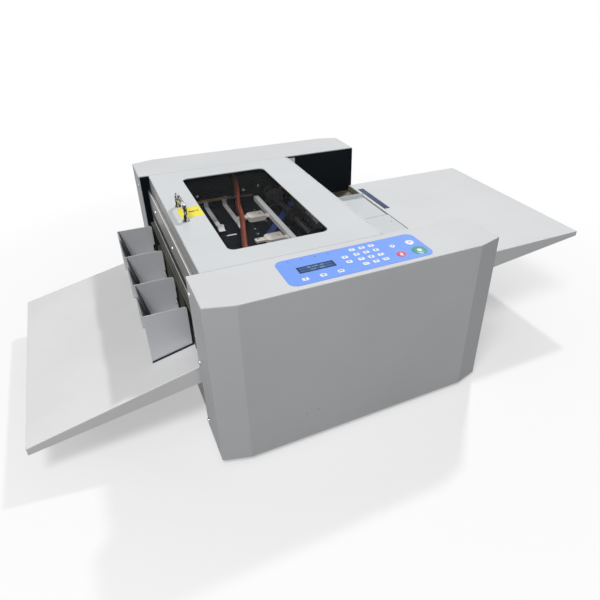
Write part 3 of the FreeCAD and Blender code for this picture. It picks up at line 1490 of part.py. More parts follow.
NODES = {
    # frame and covers
    "front_cover": front_cover, "rear_cover": rear_cover,
    "front_side_plate": lambda: side_plate(-1), "rear_side_plate": lambda: side_plate(1),
    "base_plate": lambda: join([base_plate()] + tray_runners()),
    "cross_members": lambda: group([tie_bars(), infeed_support()]),
    "rubber_feet": rubber_feet, "exit_end_panel": exit_end_panel,
    "feed_end_panel": feed_end_panel, "cover_screws": cover_screws,
    # lid
    "top_lid": top_lid, "lid_window": lid_window, "lid_handle": lid_handle,
    "lid_hinge_leaves": lid_hinge_leaves,
    "frame_hinge_leaves": lambda: group([frame_hinge_leaves(), hinge_pins()]),
    "feeder_bridge": feeder_bridge,
    # control panel
    "control_overlay": control_overlay, "display_window": display_window,
    "membrane_keys": membrane_keys, "control_board": control_board,
    # infeed
    "infeed_plate": lambda: group([infeed_plate(), front_fence()]),
    "side_guide": lambda: group([side_guide(), guide_studs()]),
    "feed_table": feed_table,
    "feed_roller": lambda: group([feed_shaft(), feed_rollers()]),
    "feed_arm": lambda: group([feed_arm(), pickup_belt()]),
    "pickup_roller": lambda: group([pickup_shaft(), pickup_rollers()]),
    "separation_pad": lambda: group([retard_pad(), retard_holder()]),
    # slitter, transport and drive
    "lower_slitter": lower_slitter, "upper_slitter": upper_slitter,
    "transport_roller": lambda: group([transport_shaft(), transport_rollers(),
                                       drive_pulley(transport_x, transport_z)]),
    "exit_roller": lambda: group([exit_shaft(), exit_rollers(), drive_pulley(exit_x, exit_low_z)]),
    "exit_idler": exit_idler_shaft, "shaft_bearings": shaft_bearings,
    "drive_belt": drive_belt, "drive_motor": drive_motor,
    "motor_spindle": lambda: group([motor_spindle(), drive_pulley(motor_x, motor_z)]),
    "gear_motors": lambda: group([feed_motor(), cutter_motor()]),
    # bed
    "bed_plate": bed_plate, "guide_bar": guide_bar, "pressure_blocks": pressure_blocks,
    "lane_idlers": lane_idlers, "clear_guides": clear_guides, "wiring_harness": wiring_harness,
    # cross cutter
    "upper_blade": upper_blade, "cutter_beam": cutter_beam,
    "cutter_guides": lambda: group([beam_guides(), spring_posts()]),
    "lower_blade": lambda: group([lower_blade(), anvil_beam()]),
    "cam_shaft": lambda: group([cam_shaft(), lift_cams()]), "return_springs": return_springs,
    # exit
    "exit_cover_plate": exit_cover_plate, "exit_lip_bar": exit_lip_bar, "exit_table": exit_table,
    "bin_divider_1": lambda: bin_wall(0), "bin_divider_2": lambda: bin_wall(1),
    "bin_divider_3": lambda: bin_wall(2), "bin_divider_4": lambda: bin_wall(3),
    "waste_tray": waste_tray,
    # power
    "electronics": lambda: group([power_supply(), main_board()]),
    "power_entry": lambda: group([power_inlet(), switch_housing()]),
    "power_rocker": power_rocker,
}


def export_all():
    os.makedirs("parts", exist_ok=True)
    for name, make in NODES.items():
        shape = make()
        shape.translate(V(-centre_x, 0, foot_height))
        shape.exportStep("parts/%s.step" % name)


export_all()
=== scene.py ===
# Looks of the business card cutter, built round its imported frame.
import math

import bmesh
import bpy
from mathutils import Matrix, Vector


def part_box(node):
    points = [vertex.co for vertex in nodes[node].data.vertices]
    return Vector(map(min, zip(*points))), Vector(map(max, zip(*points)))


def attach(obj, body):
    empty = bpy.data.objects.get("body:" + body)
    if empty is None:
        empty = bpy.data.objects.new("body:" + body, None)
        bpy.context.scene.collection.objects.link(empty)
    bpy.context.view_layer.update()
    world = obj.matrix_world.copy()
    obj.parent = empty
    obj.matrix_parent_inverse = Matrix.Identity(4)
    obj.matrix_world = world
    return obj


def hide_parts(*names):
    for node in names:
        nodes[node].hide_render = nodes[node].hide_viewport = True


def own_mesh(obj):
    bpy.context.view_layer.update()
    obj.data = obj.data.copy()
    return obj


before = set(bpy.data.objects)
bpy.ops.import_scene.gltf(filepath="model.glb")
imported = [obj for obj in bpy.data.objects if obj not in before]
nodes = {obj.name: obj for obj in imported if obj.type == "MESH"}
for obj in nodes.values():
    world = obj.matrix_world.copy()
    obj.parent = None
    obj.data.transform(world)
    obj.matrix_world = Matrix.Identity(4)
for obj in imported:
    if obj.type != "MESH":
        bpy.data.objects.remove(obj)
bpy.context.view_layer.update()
print("frame loaded:", len(nodes), "nodes")

mm = 0.001
coverLow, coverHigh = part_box("front_cover")
middleX = (coverLow.x + coverHigh.x) / 2      # the covers' middle, which places are given from
baseZ = coverLow.z                            # and their lower edge


def at(x, y, z):
    # a place in millimetres from the covers' middle and lower edge
    return Vector((middleX + x * mm, y * mm, baseZ + z * mm))


def aboutOrigin(x, y, z):
    # a place in millimetres from the origin, for templates
    return Vector((x * mm, y * mm, z * mm))


def boxOf(node):
    # a node's corners, as at() takes them
    low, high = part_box(node)
    return [Vector(((p.x - middleX) / mm, p.y / mm, (p.z - baseZ) / mm)) for p in (low, high)]


def linked(name, data):
    thing = bpy.data.objects.new(name, data)
    bpy.context.scene.collection.objects.link(thing)
    return thing


# camera
cameraSetup = {"place": (-302.3, -781.1, 601.4), "azimuth": 26.59, "down": 31.74, "roll": 0.95,
               "lens": 31.38, "sensor": 36.0, "shiftX": -0.0593, "shiftY": -0.0288, "near": 0.02, "far": 60.0}


def addCamera(setup):
    azimuth, down, roll = (math.radians(setup[key]) for key in ("azimuth", "down", "roll"))
    forward = Vector((math.sin(azimuth) * math.cos(down), math.cos(azimuth) * math.cos(down),
                      -math.sin(down)))
    right = Vector((math.cos(azimuth), -math.sin(azimuth), 0))
    up = right.cross(forward)
    sideAxis = right * math.cos(roll) + up * math.sin(roll)
    upAxis = up * math.cos(roll) - right * math.sin(roll)
    data = bpy.data.cameras.new("camera")
    data.lens, data.sensor_width = setup["lens"], setup["sensor"]
    data.shift_x, data.shift_y = setup["shiftX"], setup["shiftY"]
    data.clip_start, data.clip_end = setup["near"], setup["far"]
    camera = linked("camera", data)
    turn = Matrix((sideAxis, upAxis, -forward)).transposed().to_4x4()
    camera.matrix_world = Matrix.Translation(at(*setup["place"])) @ turn
    bpy.context.scene.camera = camera


addCamera(cameraSetup)
print("camera placed")


# nodes, added in one line each
def setInputs(tree, node, values):
    # sockets are linked, plain values are set
    for name, value in values.items():
        if isinstance(value, bpy.types.NodeSocket):
            tree.links.new(value, node.inputs[name])
        else:
            node.inputs[name].default_value = value


def addNode(tree, kind, values=None, **props):
    node = tree.nodes.new(kind)
    for name, value in props.items():
        setattr(node, name, value)
    setInputs(tree, node, values or {})
    return node


def addSocket(tree, kind, values=None, output=0, **props):
    # a node of which one output is wanted
    return addNode(tree, kind, values, **props).outputs[output]


def addMath(tree, operation, a, b=0.5, clamp=False):
    return addSocket(tree, "ShaderNodeMath", {0: a, 1: b}, operation=operation, use_clamp=clamp)


def addVector(tree, operation, values, output=0):
    return addSocket(tree, "ShaderNodeVectorMath", values, output, operation=operation)


def addMix(tree, factor, a, b):
    return addSocket(tree, "ShaderNodeMix", {0: factor, 6: a, 7: b}, 2, data_type="RGBA")


def addNoise(tree, where, scale, detail=2.0, rough=0.5):
    return addSocket(tree, "ShaderNodeTexNoise",
                     {"Vector": where, "Scale": scale, "Detail": detail, "Roughness": rough})


def addRange(tree, value, low, high, toLow=0.0, toHigh=1.0):
    return addSocket(tree, "ShaderNodeMapRange", {0: value, 1: low, 2: high, 3: toLow, 4: toHigh})


def objectPlace(tree):
    return addSocket(tree, "ShaderNodeTexCoord", output="Object")


def newGroup(name, inputs, outputs, kind="ShaderNodeTree"):
    # a tree with named sockets, and the sockets that it starts from
    tree = bpy.data.node_groups.new(name, kind)
    for label, socketKind, value in inputs:
        socket = tree.interface.new_socket(label, in_out="INPUT", socket_type="NodeSocket" + socketKind)
        if value is not None:
            socket.default_value = value
    for label, socketKind in outputs:
        tree.interface.new_socket(label, in_out="OUTPUT", socket_type="NodeSocket" + socketKind)
    return tree, tree.nodes.new("NodeGroupInput").outputs


def finishGroup(tree, made):
    setInputs(tree, tree.nodes.new("NodeGroupOutput"), made)
    return tree


# skins, which the finishes share; their patterns are counted per metre
grey = (0.5, 0.5, 0.5, 1.0)
dustColor = (0.40, 0.39, 0.37, 1.0)
skinScale = {"cloud": 7.0, "rub": 46.0, "specks": 1700.0, "tarnish": 38.0, "wear": 60.0}
skinOutputs = [("Color", "Color"), ("Roughness", "Float"), ("Height", "Float")]


def makePaintSkin():
    # sprayed or powder paint: orange peel, faint cloudiness, rubbed patches
    tree, start = newGroup("paintSkin", [
        ("Base", "Color", grey), ("Cloud", "Color", grey), ("Roughness", "Float", 0.35),
        ("Spread", "Float", 0.1), ("Peel", "Float", 900.0), ("Dust", "Float", 0.05)], skinOutputs)
    where = objectPlace(tree)
    peel = addNoise(tree, where, start["Peel"], 1.5)
    cloud = addRange(tree, addNoise(tree, where, skinScale["cloud"], 3.0), 0.35, 0.65)
    rubbed = addMath(tree, "SUBTRACT", addNoise(tree, where, skinScale["rub"], 6.0, 0.7), 0.5)
    specks = addRange(tree, addNoise(tree, where, skinScale["specks"]), 0.66, 0.74)
    soft = addMix(tree, cloud, start["Base"], start["Cloud"])
    color = addMix(tree, addMath(tree, "MULTIPLY", specks, start["Dust"]), soft, dustColor)
    spread = addMath(tree, "MULTIPLY", rubbed, start["Spread"])
    rough = addMath(tree, "ADD", start["Roughness"], spread, True)
    return finishGroup(tree, {"Color": color, "Roughness": rough, "Height": peel})


def makeMetalGrain():
    # ground, rolled or plated metal: grain drawn out by the stretch, with tarnish in soft patches
    tree, start = newGroup("metalGrain", [
        ("Base", "Color", grey), ("Tarnish", "Color", grey), ("Roughness", "Float", 0.3),
        ("Stretch", "Vector", (1.0, 1.0, 1.0)), ("Grain", "Float", 700.0), ("Patches", "Float", 0.3)],
        skinOutputs)
    where = objectPlace(tree)
    drawn = addVector(tree, "MULTIPLY", {0: where, 1: start["Stretch"]})
    grain = addNoise(tree, drawn, start["Grain"], 3.0)
    patch = addRange(tree, addNoise(tree, where, skinScale["tarnish"], 5.0, 0.65), 0.42, 0.7)
    tarnish = addMath(tree, "MULTIPLY", patch, start["Patches"])
    streak = addMath(tree, "MULTIPLY", addRange(tree, grain, 0.3, 0.7), 0.2)
    color = addMix(tree, addMath(tree, "ADD", tarnish, streak, True), start["Base"], start["Tarnish"])
    spread = addMath(tree, "MULTIPLY", addMath(tree, "SUBTRACT", grain, 0.5), 0.2)
    rough = addMath(tree, "ADD", addMath(tree, "ADD", start["Roughness"], spread),
                    addMath(tree, "MULTIPLY", tarnish, 0.3), True)
    return finishGroup(tree, {"Color": color, "Roughness": rough, "Height": grain})


def makeMouldSkin():
    # moulded plastic and rubber: fine spark-eroded texture, with a slightly worn colour
    tree, start = newGroup("mouldSkin", [
        ("Base", "Color", grey), ("Worn", "Color", grey), ("Roughness", "Float", 0.4),
        ("Texture", "Float", 1500.0), ("Wear", "Float", 0.3)], skinOutputs)
    where = objectPlace(tree)
    fine = addNoise(tree, where, start["Texture"])
    worn = addRange(tree, addNoise(tree, where, skinScale["wear"], 6.0, 0.7), 0.45, 0.72)
    wear = addMath(tree, "MULTIPLY", worn, start["Wear"])
    color = addMix(tree, wear, start["Base"], start["Worn"])
    rough = addMath(tree, "ADD", start["Roughness"], addMath(tree, "MULTIPLY", wear, 0.15), True)
    return finishGroup(tree, {"Color": color, "Roughness": rough, "Height": fine})


def makeAroundAxle():
    # how far a point lies from an axle that runs along Y: 0 on the steel, 1 on the tyre
    tree, start = newGroup("aroundAxle", [("Axle", "Vector", (0.0, 0.0, 0.0)), ("Edge", "Float", 0.01)],
                           [("Tyre", "Float")])
    offset = addVector(tree, "SUBTRACT", {0: objectPlace(tree), 1: start["Axle"]})
    across = addVector(tree, "MULTIPLY", {0: offset, 1: (1.0, 0.0, 1.0)})
    radius = addVector(tree, "LENGTH", {0: across}, "Value")
    return finishGroup(tree, {"Tyre": addMath(tree, "GREATER_THAN", radius, start["Edge"])})


paintSkin, metalGrain, mouldSkin = makePaintSkin(), makeMetalGrain(), makeMouldSkin()
aroundAxle = makeAroundAxle()


# finishes
def rgba(color):
    return (*color, 1.0)


def startMaterial(name, metallic=0.0, specular=0.5):
    material = bpy.data.materials.new(name)
    material.use_nodes = True
    tree = material.node_tree
    shader = tree.nodes["Principled BSDF"]
    setInputs(tree, shader, {"Metallic": metallic, "Specular IOR Level": specular})
    return material, tree, shader


def addSkin(tree, group, look):
    colors = {key: rgba(look[key]) for key in ("Base", "Cloud", "Tarnish", "Worn") if key in look}
    return addNode(tree, "ShaderNodeGroup", {**look, **colors}, node_tree=group).outputs


def addBump(tree, strength, depth, height):
    return addSocket(tree, "ShaderNodeBump", {"Strength": strength, "Distance": depth * mm, "Height": height})


def skinMaterial(name, group, look, bump, metallic=0.0, specular=0.5):
    # a Principled shader fed by one of the three skins; bump is a strength and a depth in millimetres
    material, tree, shader = startMaterial(name, metallic, specular)
    skin = addSkin(tree, group, look)
    relief = addBump(tree, *bump, skin["Height"])
    setInputs(tree, shader, {"Base Color": skin["Color"], "Roughness": skin["Roughness"], "Normal": relief})
    return material


def paint(name, base, cloud, roughness=0.38, specular=0.5, dust=0.05):
    look = {"Base": base, "Cloud": cloud, "Roughness": roughness, "Dust": dust}
    return skinMaterial(name, paintSkin, look, (0.1, 0.3), specular=specular)


def metal(name, base, tarnish, roughness, stretch, grain, patches):
    look = {"Base": base, "Tarnish": tarnish, "Roughness": roughness, "Stretch": stretch,
            "Grain": grain, "Patches": patches}
    return skinMaterial(name, metalGrain, look, (0.05, 0.2), metallic=1.0)


def moulded(name, base, worn, roughness, texture, wear, bump=0.12, specular=0.5):
    look = {"Base": base, "Worn": worn, "Roughness": roughness, "Texture": texture, "Wear": wear}
    return skinMaterial(name, mouldSkin, look, (bump, 0.3), specular=specular)


def clearSheet(name, tint, alpha, roughness, smudge, specular=0.5, wear=0.4):
    # see-through sheet: its own colour, polish and smudges over a plain alpha
    material, tree, shader = startMaterial(name, specular=specular)
    smudged = tuple(channel + smudge for channel in tint)
    skin = addSkin(tree, mouldSkin, {"Base": tint, "Worn": smudged, "Roughness": roughness, "Wear": wear})
    setInputs(tree, shader, {"Base Color": skin["Color"], "Roughness": skin["Roughness"], "Alpha": alpha})
    return material


def paintedReflectionPlating(name, bright, dark, scale, stretch, share):
    # bright plating with dark streaks painted into its colour: painted reflections of dark surroundings,
    # hard-edged
    material, tree, shader = startMaterial(name, metallic=1.0)
    drawn = addVector(tree, "MULTIPLY", {0: objectPlace(tree), 1: stretch})
    streak = addRange(tree, addNoise(tree, drawn, scale), share - 0.03, share + 0.03)
    rubbed = addNoise(tree, drawn, scale * 6, 4.0)
    setInputs(tree, shader, {"Base Color": addMix(tree, streak, rgba(bright), rgba(dark)),
                             "Roughness": addRange(tree, rubbed, 0.3, 0.7, 0.05, 0.14)})
    return material


shaftLook = {"Base": (0.62, 0.62, 0.61), "Tarnish": (0.36, 0.35, 0.33), "Roughness": 0.28,
             "Stretch": (1, 0.08, 1), "Grain": 800.0}
tyreFrom = 9.0


def roller(name, axle, tyreColor, tyreWorn):
    # steel shaft inside, rubber tyre outside
    material, tree, shader = startMaterial(name)
    tyre = addSocket(tree, "ShaderNodeGroup", {"Axle": at(axle[0], 0, axle[1]), "Edge": tyreFrom * mm},
                     node_tree=aroundAxle)
    steel = addSkin(tree, metalGrain, shaftLook)
    rubber = addSkin(tree, mouldSkin, {"Base": tyreColor, "Worn": tyreWorn, "Roughness": 0.6,
                                       "Texture": 900.0, "Wear": 0.5})
    rough = addSocket(tree, "ShaderNodeMix", {0: tyre, 2: steel["Roughness"], 3: rubber["Roughness"]})
    setInputs(tree, shader, {"Base Color": addMix(tree, tyre, steel["Color"], rubber["Color"]),
                             "Metallic": addRange(tree, tyre, 0, 1, 1, 0), "Roughness": rough,
                             "Normal": addBump(tree, 0.1, 0.3, rubber["Height"])})
    return material


# colour, clouded colour, roughness, specular, dust
paints = {
    "coverPaint": ((0.70, 0.712, 0.725), (0.67, 0.682, 0.695), 0.55, 0.04),
    "lidPaint": ((0.655, 0.68, 0.695), (0.625, 0.65, 0.665), 0.38, 0.3),
    "tablePaint": ((0.69, 0.705, 0.715), (0.66, 0.675, 0.685), 0.42, 0.3),
    "infeedPaint": ((0.62, 0.65, 0.67), (0.59, 0.62, 0.64), 0.42, 0.3),
    "binPaint": ((0.695, 0.71, 0.74), (0.68, 0.695, 0.725), 0.42),
    # the bins' sheet darkened for their backs and lips: painted shade
    "binInside": ((0.13, 0.135, 0.14), (0.11, 0.115, 0.12), 0.5, 0.0),
    "blackPaint": ((0.004, 0.006, 0.009), (0.007, 0.010, 0.013), 0.6, 0.06, 0.12),
    "wallPaint": ((0.17, 0.168, 0.15), (0.12, 0.118, 0.105), 0.5, 0.0, 0.2),
    "hollowBrown": ((0.20, 0.185, 0.145), (0.13, 0.12, 0.092), 0.5, 0.2, 0.3),
    # the tables' paint made lighter for the exit table: painted light, for the brighter light on it
    "exitPaint": ((0.80, 0.80, 0.805), (0.76, 0.76, 0.765), 0.42),
    "plateGrey": ((0.36, 0.362, 0.352), (0.27, 0.272, 0.262), 0.42),
    "matteBlack": ((0.016, 0.017, 0.019), (0.028, 0.029, 0.031), 0.6, 0.0),
    "motorBlack": ((0.02, 0.02, 0.022), (0.03, 0.03, 0.03), 0.4, 0.5, 0.15),
    "whitePaint": ((0.97, 0.97, 0.96), (0.93, 0.93, 0.92), 0.36, 0.5, 0.2),
    "blockWhite": ((0.80, 0.76, 0.70), (0.70, 0.66, 0.61), 0.32, 0.5, 0.3),
}
# colour, tarnish, roughness, stretch of the grain, its scale, share of tarnished patches
metals = {
    "oxideSteel": ((0.10, 0.10, 0.105), (0.05, 0.05, 0.05), 0.45, (1, 0.1, 1), 700.0, 0.5),
    "zincPlate": ((0.42, 0.39, 0.31), (0.26, 0.23, 0.17), 0.38, (1, 1, 1), 240.0, 0.5),
    "groundSteel": ((0.62, 0.62, 0.61), (0.42, 0.41, 0.39), 0.26, (1, 0.06, 1), 900.0, 0.2),
    "brightSteel": ((0.72, 0.72, 0.72), (0.52, 0.52, 0.51), 0.22, (1, 1, 1), 300.0, 0.2),
    "darkSteel": ((0.30, 0.30, 0.30), (0.16, 0.155, 0.15), 0.38, (1, 0.1, 1), 700.0, 0.5),
    "capSteel": ((0.60, 0.59, 0.57), (0.24, 0.23, 0.21), 0.3, (1, 1, 1), 900.0, 0.6),
    "screwSteel": ((0.42, 0.41, 0.39), (0.22, 0.21, 0.19), 0.32, (1, 1, 1), 900.0, 0.4),
    "springSteel": ((0.42, 0.42, 0.42), (0.22, 0.21, 0.20), 0.3, (1, 1, 1), 900.0, 0.4),
    "brass": ((0.40, 0.29, 0.13), (0.22, 0.15, 0.07), 0.35, (0.1, 1, 1), 500.0, 0.5),
}
# colour, worn colour, roughness, texture's scale, wear, bump, specular
mouldings = {
    "rubber": ((0.02, 0.02, 0.02), (0.06, 0.058, 0.055), 0.72, 900.0, 0.4, 0.3, 0.3),
    "beltRubber": ((0.015, 0.015, 0.015), (0.05, 0.05, 0.05), 0.7, 1200.0, 0.5, 0.3, 0.3),
    "magnetRubber": ((0.010, 0.010, 0.012), (0.03, 0.03, 0.032), 0.6, 1100.0, 0.3, 0.2, 0.3),
    "filmBlue": ((0.150, 0.325, 0.90), (0.165, 0.345, 0.91), 0.34, 2600.0, 0.6, 0.04),
    "keyFilm": ((0.83, 0.86, 0.90), (0.74, 0.78, 0.85), 0.34, 2600.0, 0.3, 0.05),
    "keyGreen": ((0.035, 0.31, 0.23), (0.05, 0.36, 0.28), 0.34, 2600.0, 0.4, 0.05),
    "keyRed": ((0.71, 0.055, 0.10), (0.76, 0.09, 0.14), 0.34, 2600.0, 0.4, 0.05),
    "legendInk": ((0.02, 0.024, 0.03), (0.05, 0.055, 0.065), 0.45, 2600.0, 0.4, 0.03),
    "lampRed": ((0.16, 0.05, 0.16), (0.24, 0.08, 0.20), 0.25, 2600.0, 0.4, 0.03),
    "displayFilm": ((0.010, 0.028, 0.085), (0.018, 0.04, 0.11), 0.14, 2600.0, 0.3, 0.02, 0.2),
    "displayCell": ((0.035, 0.11, 0.30), (0.06, 0.17, 0.40), 0.2, 300.0, 0.8, 0.02, 0.2),
    "displayInk": ((0.30, 0.48, 0.72), (0.38, 0.55, 0.78), 0.2, 900.0, 0.4, 0.02),
    "stickerYellow": ((0.92, 0.80, 0.0), (0.86, 0.73, 0.02), 0.4, 1800.0, 0.5, 0.05),
    "ruleBlue": ((0.022, 0.036, 0.095), (0.034, 0.055, 0.135), 0.4, 1800.0, 0.5, 0.05, 0.15),
    "ruleInk": ((0.26, 0.36, 0.56), (0.20, 0.29, 0.48), 0.45, 1800.0, 0.5, 0.03, 0.2),
    "tapeBlue": ((0.022, 0.036, 0.17), (0.028, 0.045, 0.21), 0.4, 800.0, 0.5, 0.1),
    "tapeWhite": ((0.88, 0.86, 0.82), (0.74, 0.72, 0.69), 0.45, 800.0, 0.6, 0.15),
    "boardGreen": ((0.02, 0.10, 0.05), (0.03, 0.16, 0.08), 0.45, 420.0, 0.6, 0.2),
    "blackPlastic": ((0.015, 0.015, 0.016), (0.035, 0.035, 0.035), 0.38, 1400.0, 0.3),
    "loomSleeve": ((0.20, 0.035, 0.016), (0.12, 0.018, 0.010), 0.35, 500.0, 0.6, 0.2),
    "loomWrap": ((0.66, 0.19, 0.08), (0.36, 0.07, 0.03), 0.15, 900.0, 0.6, 0.2),
    "loomStrand": ((0.11, 0.016, 0.012), (0.07, 0.010, 0.008), 0.35, 700.0, 0.6, 0.2),
}
# tint, alpha, roughness, how much lighter the smudges are, specular, wear
sheets = {
    "smokedSheet": ((0.010, 0.012, 0.014), 0.05, 0.03, 0.01, 0.3),
    "clearPlastic": ((0.95, 0.95, 0.95), 0.55, 0.12, -0.65, 0.5, 0.9),
    # near-opaque white for the strips' curled ends: painted glare
    "clearEdge": ((0.95, 0.95, 0.95), 0.90, 0.15, -0.15),
}
# place of the axle in X and Z, tyre's colour, worn colour
tyres = {
    "feedTyre": ((56.0, 191.3), (0.045, 0.05, 0.055), (0.10, 0.10, 0.10)),
    "pickupTyre": ((92.0, 191.3), (0.045, 0.05, 0.055), (0.10, 0.10, 0.10)),
    "transportTyre": ((-32.0, 164.0), (0.04, 0.04, 0.045), (0.09, 0.09, 0.09)),
    "exitTyre": ((-192.0, 164.0), (0.04, 0.04, 0.045), (0.09, 0.09, 0.09)),
}
# the lid handle's chrome: its dark streaks are painted reflections
finishes = {"chrome": paintedReflectionPlating("chrome", (0.62, 0.62, 0.60), (0.03, 0.03, 0.03), 220.0,
                               (1.6, 0.35, 0.5), 0.48)}
for makeFinish, looks in ((paint, paints), (metal, metals), (moulded, mouldings), (clearSheet, sheets),
                          (roller, tyres)):
    for finishName, look in looks.items():
        finishes[finishName] = makeFinish(finishName, *look)
print("finishes made:", len(finishes))


# shapes
def shadeByAngle(mesh, angle):
    mesh.polygons.foreach_set("use_smooth", [True] * len(mesh.polygons))
    mesh.set_sharp_from_angle(angle=math.radians(angle))


def meshFrom(name, shape):
    bmesh.ops.recalc_face_normals(shape, faces=shape.faces[:])
    mesh = bpy.data.meshes.new(name)
    shape.to_mesh(mesh)
    shape.free()
    return mesh


def makePiece(name, shape, finishNames, body="frame", angle=35):
    # a finished mesh piece from a bmesh, riding on its body
    bmesh.ops.remove_doubles(shape, verts=shape.verts[:], dist=1e-7)
    mesh = meshFrom(name, shape)
    for finishName in finishNames:
        mesh.materials.append(finishes[finishName])
    shadeByAngle(mesh, angle)
    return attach(linked(name, mesh), body)


def evaluatedMesh(source):
    # the plain mesh that an object gives once its modifiers and bevels have run
    bpy.context.view_layer.update()
    depsgraph = bpy.context.evaluated_depsgraph_get()
    return bpy.data.meshes.new_from_object(source.evaluated_get(depsgraph), depsgraph=depsgraph)


def dropObject(source):
    bpy.data.objects.remove(source, do_unlink=True)


def loft(shape, rings, finish=0, capped=True, place=at):
    # skin over rings of places in millimetres, each with the same number of points
    rows = [[shape.verts.new(place(*p)) for p in ring] for ring in rings]
    count = len(rows[0])
    faces = []
    for low, high in zip(rows, rows[1:]):
        for i in range(count):
            j = (i + 1) % count
            faces.append(shape.faces.new((low[i], low[j], high[j], high[i])))
    if capped:
        faces.append(shape.faces.new(rows[0][::-1]))
        faces.append(shape.faces.new(rows[-1]))
    for face in faces:
        face.material_index = finish


def arcPoints(cx, cy, radius, start, steps=5):
    # a quarter turn, anticlockwise
    angles = [math.radians(start + 90 * step / steps) for step in range(steps + 1)]
    return [(cx + radius * math.cos(a), cy + radius * math.sin(a)) for a in angles]


def roundedOutline(x0, x1, y0, y1, corner, steps=5):
    points = []
    for cx, cy, start in ((x1 - corner, y1 - corner, 0), (x0 + corner, y1 - corner, 90),
                          (x0 + corner, y0 + corner, 180), (x1 - corner, y0 + corner, 270)):
        points += arcPoints(cx, cy, corner, start, steps)
    return points


def middleOutline(x, y, halfX, halfY, corner, steps=5):
    # a rounded rectangle about its middle
    return roundedOutline(x - halfX, x + halfX, y - halfY, y + halfY, corner, steps)


def circleOutline(cx, cy, radius, steps=28):
    angles = [2 * math.pi * i / steps for i in range(steps)]
    return [(cx + radius * math.cos(a), cy + radius * math.sin(a)) for a in angles]


def insetOutline(outline, inset):
    # the outline moved inwards; it runs anticlockwise
    moved = []
    count = len(outline)
    for i, point in enumerate(outline):
        before, after = Vector(outline[i - 1]), Vector(outline[(i + 1) % count])
        along = (after - before).normalized()
        moved.append((point[0] - along.y * inset, point[1] + along.x * inset))
    return moved


def addSlab(shape, outline, z0, z1, edge=0.0, finish=0, place=at):
    # a flat plate with a rounded upper edge
    eased = [(0, z0), (0, z1 - edge), (edge * 0.3, z1 - edge * 0.3), (edge, z1)]
    rings = eased if edge else [(0, z0), (0, z1)]
    loft(shape, [[(x, y, z) for x, y in insetOutline(outline, inset)] for inset, z in rings], finish,
         place=place)


def addRun(shape, outline, stations, finish=0):
    # a form along Y: its outline in X and Z, and the inset that it has at each station
    loft(shape, [[(x, y, z) for x, z in insetOutline(outline, inset)] for inset, y in stations], finish)


def addBar(shape, section, start, end, finish=0):
    # a bar along Y: its section is places in X and Z
    loft(shape, [[(x, y, z) for x, z in section] for y in (start, end)], finish)


def addText(shape, label, height, place, depth=0.03, bold=0.0):
    # generic numbers, as mesh
    curve = bpy.data.curves.new("digits", "FONT")
    curve.body = label
    curve.size = height * mm
    curve.extrude = depth * mm
    curve.align_x, curve.align_y = "CENTER", "CENTER"
    curve.resolution_u = 3
    curve.offset = bold * mm
    source = linked("digits", curve)
    mesh = evaluatedMesh(source)
    dropObject(source)
    mesh.transform(Matrix.Translation(at(*place)))
    shape.from_mesh(mesh)
    bpy.data.meshes.remove(mesh)


# repeats, grown by geometry nodes
def newGrowth(name, inputs):
    # a geometry tree that takes and gives geometry
    return newGroup(name, [("Geometry", "Geometry", None)] + inputs + [("Finish", "Material", None)],
                    [("Geometry", "Geometry")], "GeometryNodeTree")


def endGrowth(tree, geometry, finish):
    solid = addSocket(tree, "GeometryNodeRealizeInstances", {"Geometry": geometry})
    painted = addSocket(tree, "GeometryNodeSetMaterial", {"Geometry": solid, "Material": finish})
    return finishGroup(tree, {"Geometry": painted})


def addInstances(tree, points, instance, more=None):
    return addSocket(tree, "GeometryNodeInstanceOnPoints",
                     {"Points": points, "Instance": instance, **(more or {})})


def moveGeometry(tree, geometry, offset):
    return addSocket(tree, "GeometryNodeTransform", {"Geometry": geometry, "Translation": offset})


def formOf(tree, thing):
    return addSocket(tree, "GeometryNodeObjectInfo", {"Object": thing}, "Geometry")


def makeScrewTree():
    # one head on each point, turned to its facing and spun by chance
    tree, start = newGrowth("screwPattern", [
        ("Head", "Object", None), ("Size", "Vector", (1.0, 1.0, 1.0)), ("Seed", "Int", 7)])
    facing = addSocket(tree, "GeometryNodeInputNamedAttribute", {"Name": "facing"}, data_type="FLOAT_VECTOR")
    stand = addSocket(tree, "FunctionNodeAlignRotationToVector", {"Vector": facing}, axis="Z")
    chance = addSocket(tree, "FunctionNodeRandomValue", {2: 0.0, 3: math.pi, "Seed": start["Seed"]}, 1,
                       data_type="FLOAT")
    spin = addSocket(tree, "FunctionNodeAxisAngleToRotation", {"Axis": (0.0, 0.0, 1.0), "Angle": chance})
    turned = addSocket(tree, "FunctionNodeRotateRotation", {0: stand, 1: spin}, rotation_space="LOCAL")
    placed = addInstances(tree, start["Geometry"], formOf(tree, start["Head"]),
                          {"Rotation": turned, "Scale": start["Size"]})
    return endGrowth(tree, placed, start["Finish"])


def makeFieldTree():
    # one template repeated over a field of columns and rows
    tree, start = newGrowth("keyField", [
        ("Template", "Object", None), ("Columns", "Int", 3), ("Rows", "Int", 4), ("Width", "Float", 0.03),
        ("Depth", "Float", 0.04), ("Centre", "Vector", (0.0, 0.0, 0.0))])
    grid = addSocket(tree, "GeometryNodeMeshGrid",
                     {"Size X": start["Width"], "Size Y": start["Depth"], "Vertices X": start["Columns"],
                      "Vertices Y": start["Rows"]})
    placed = addInstances(tree, moveGeometry(tree, grid, start["Centre"]), formOf(tree, start["Template"]))
    return endGrowth(tree, placed, start["Finish"])


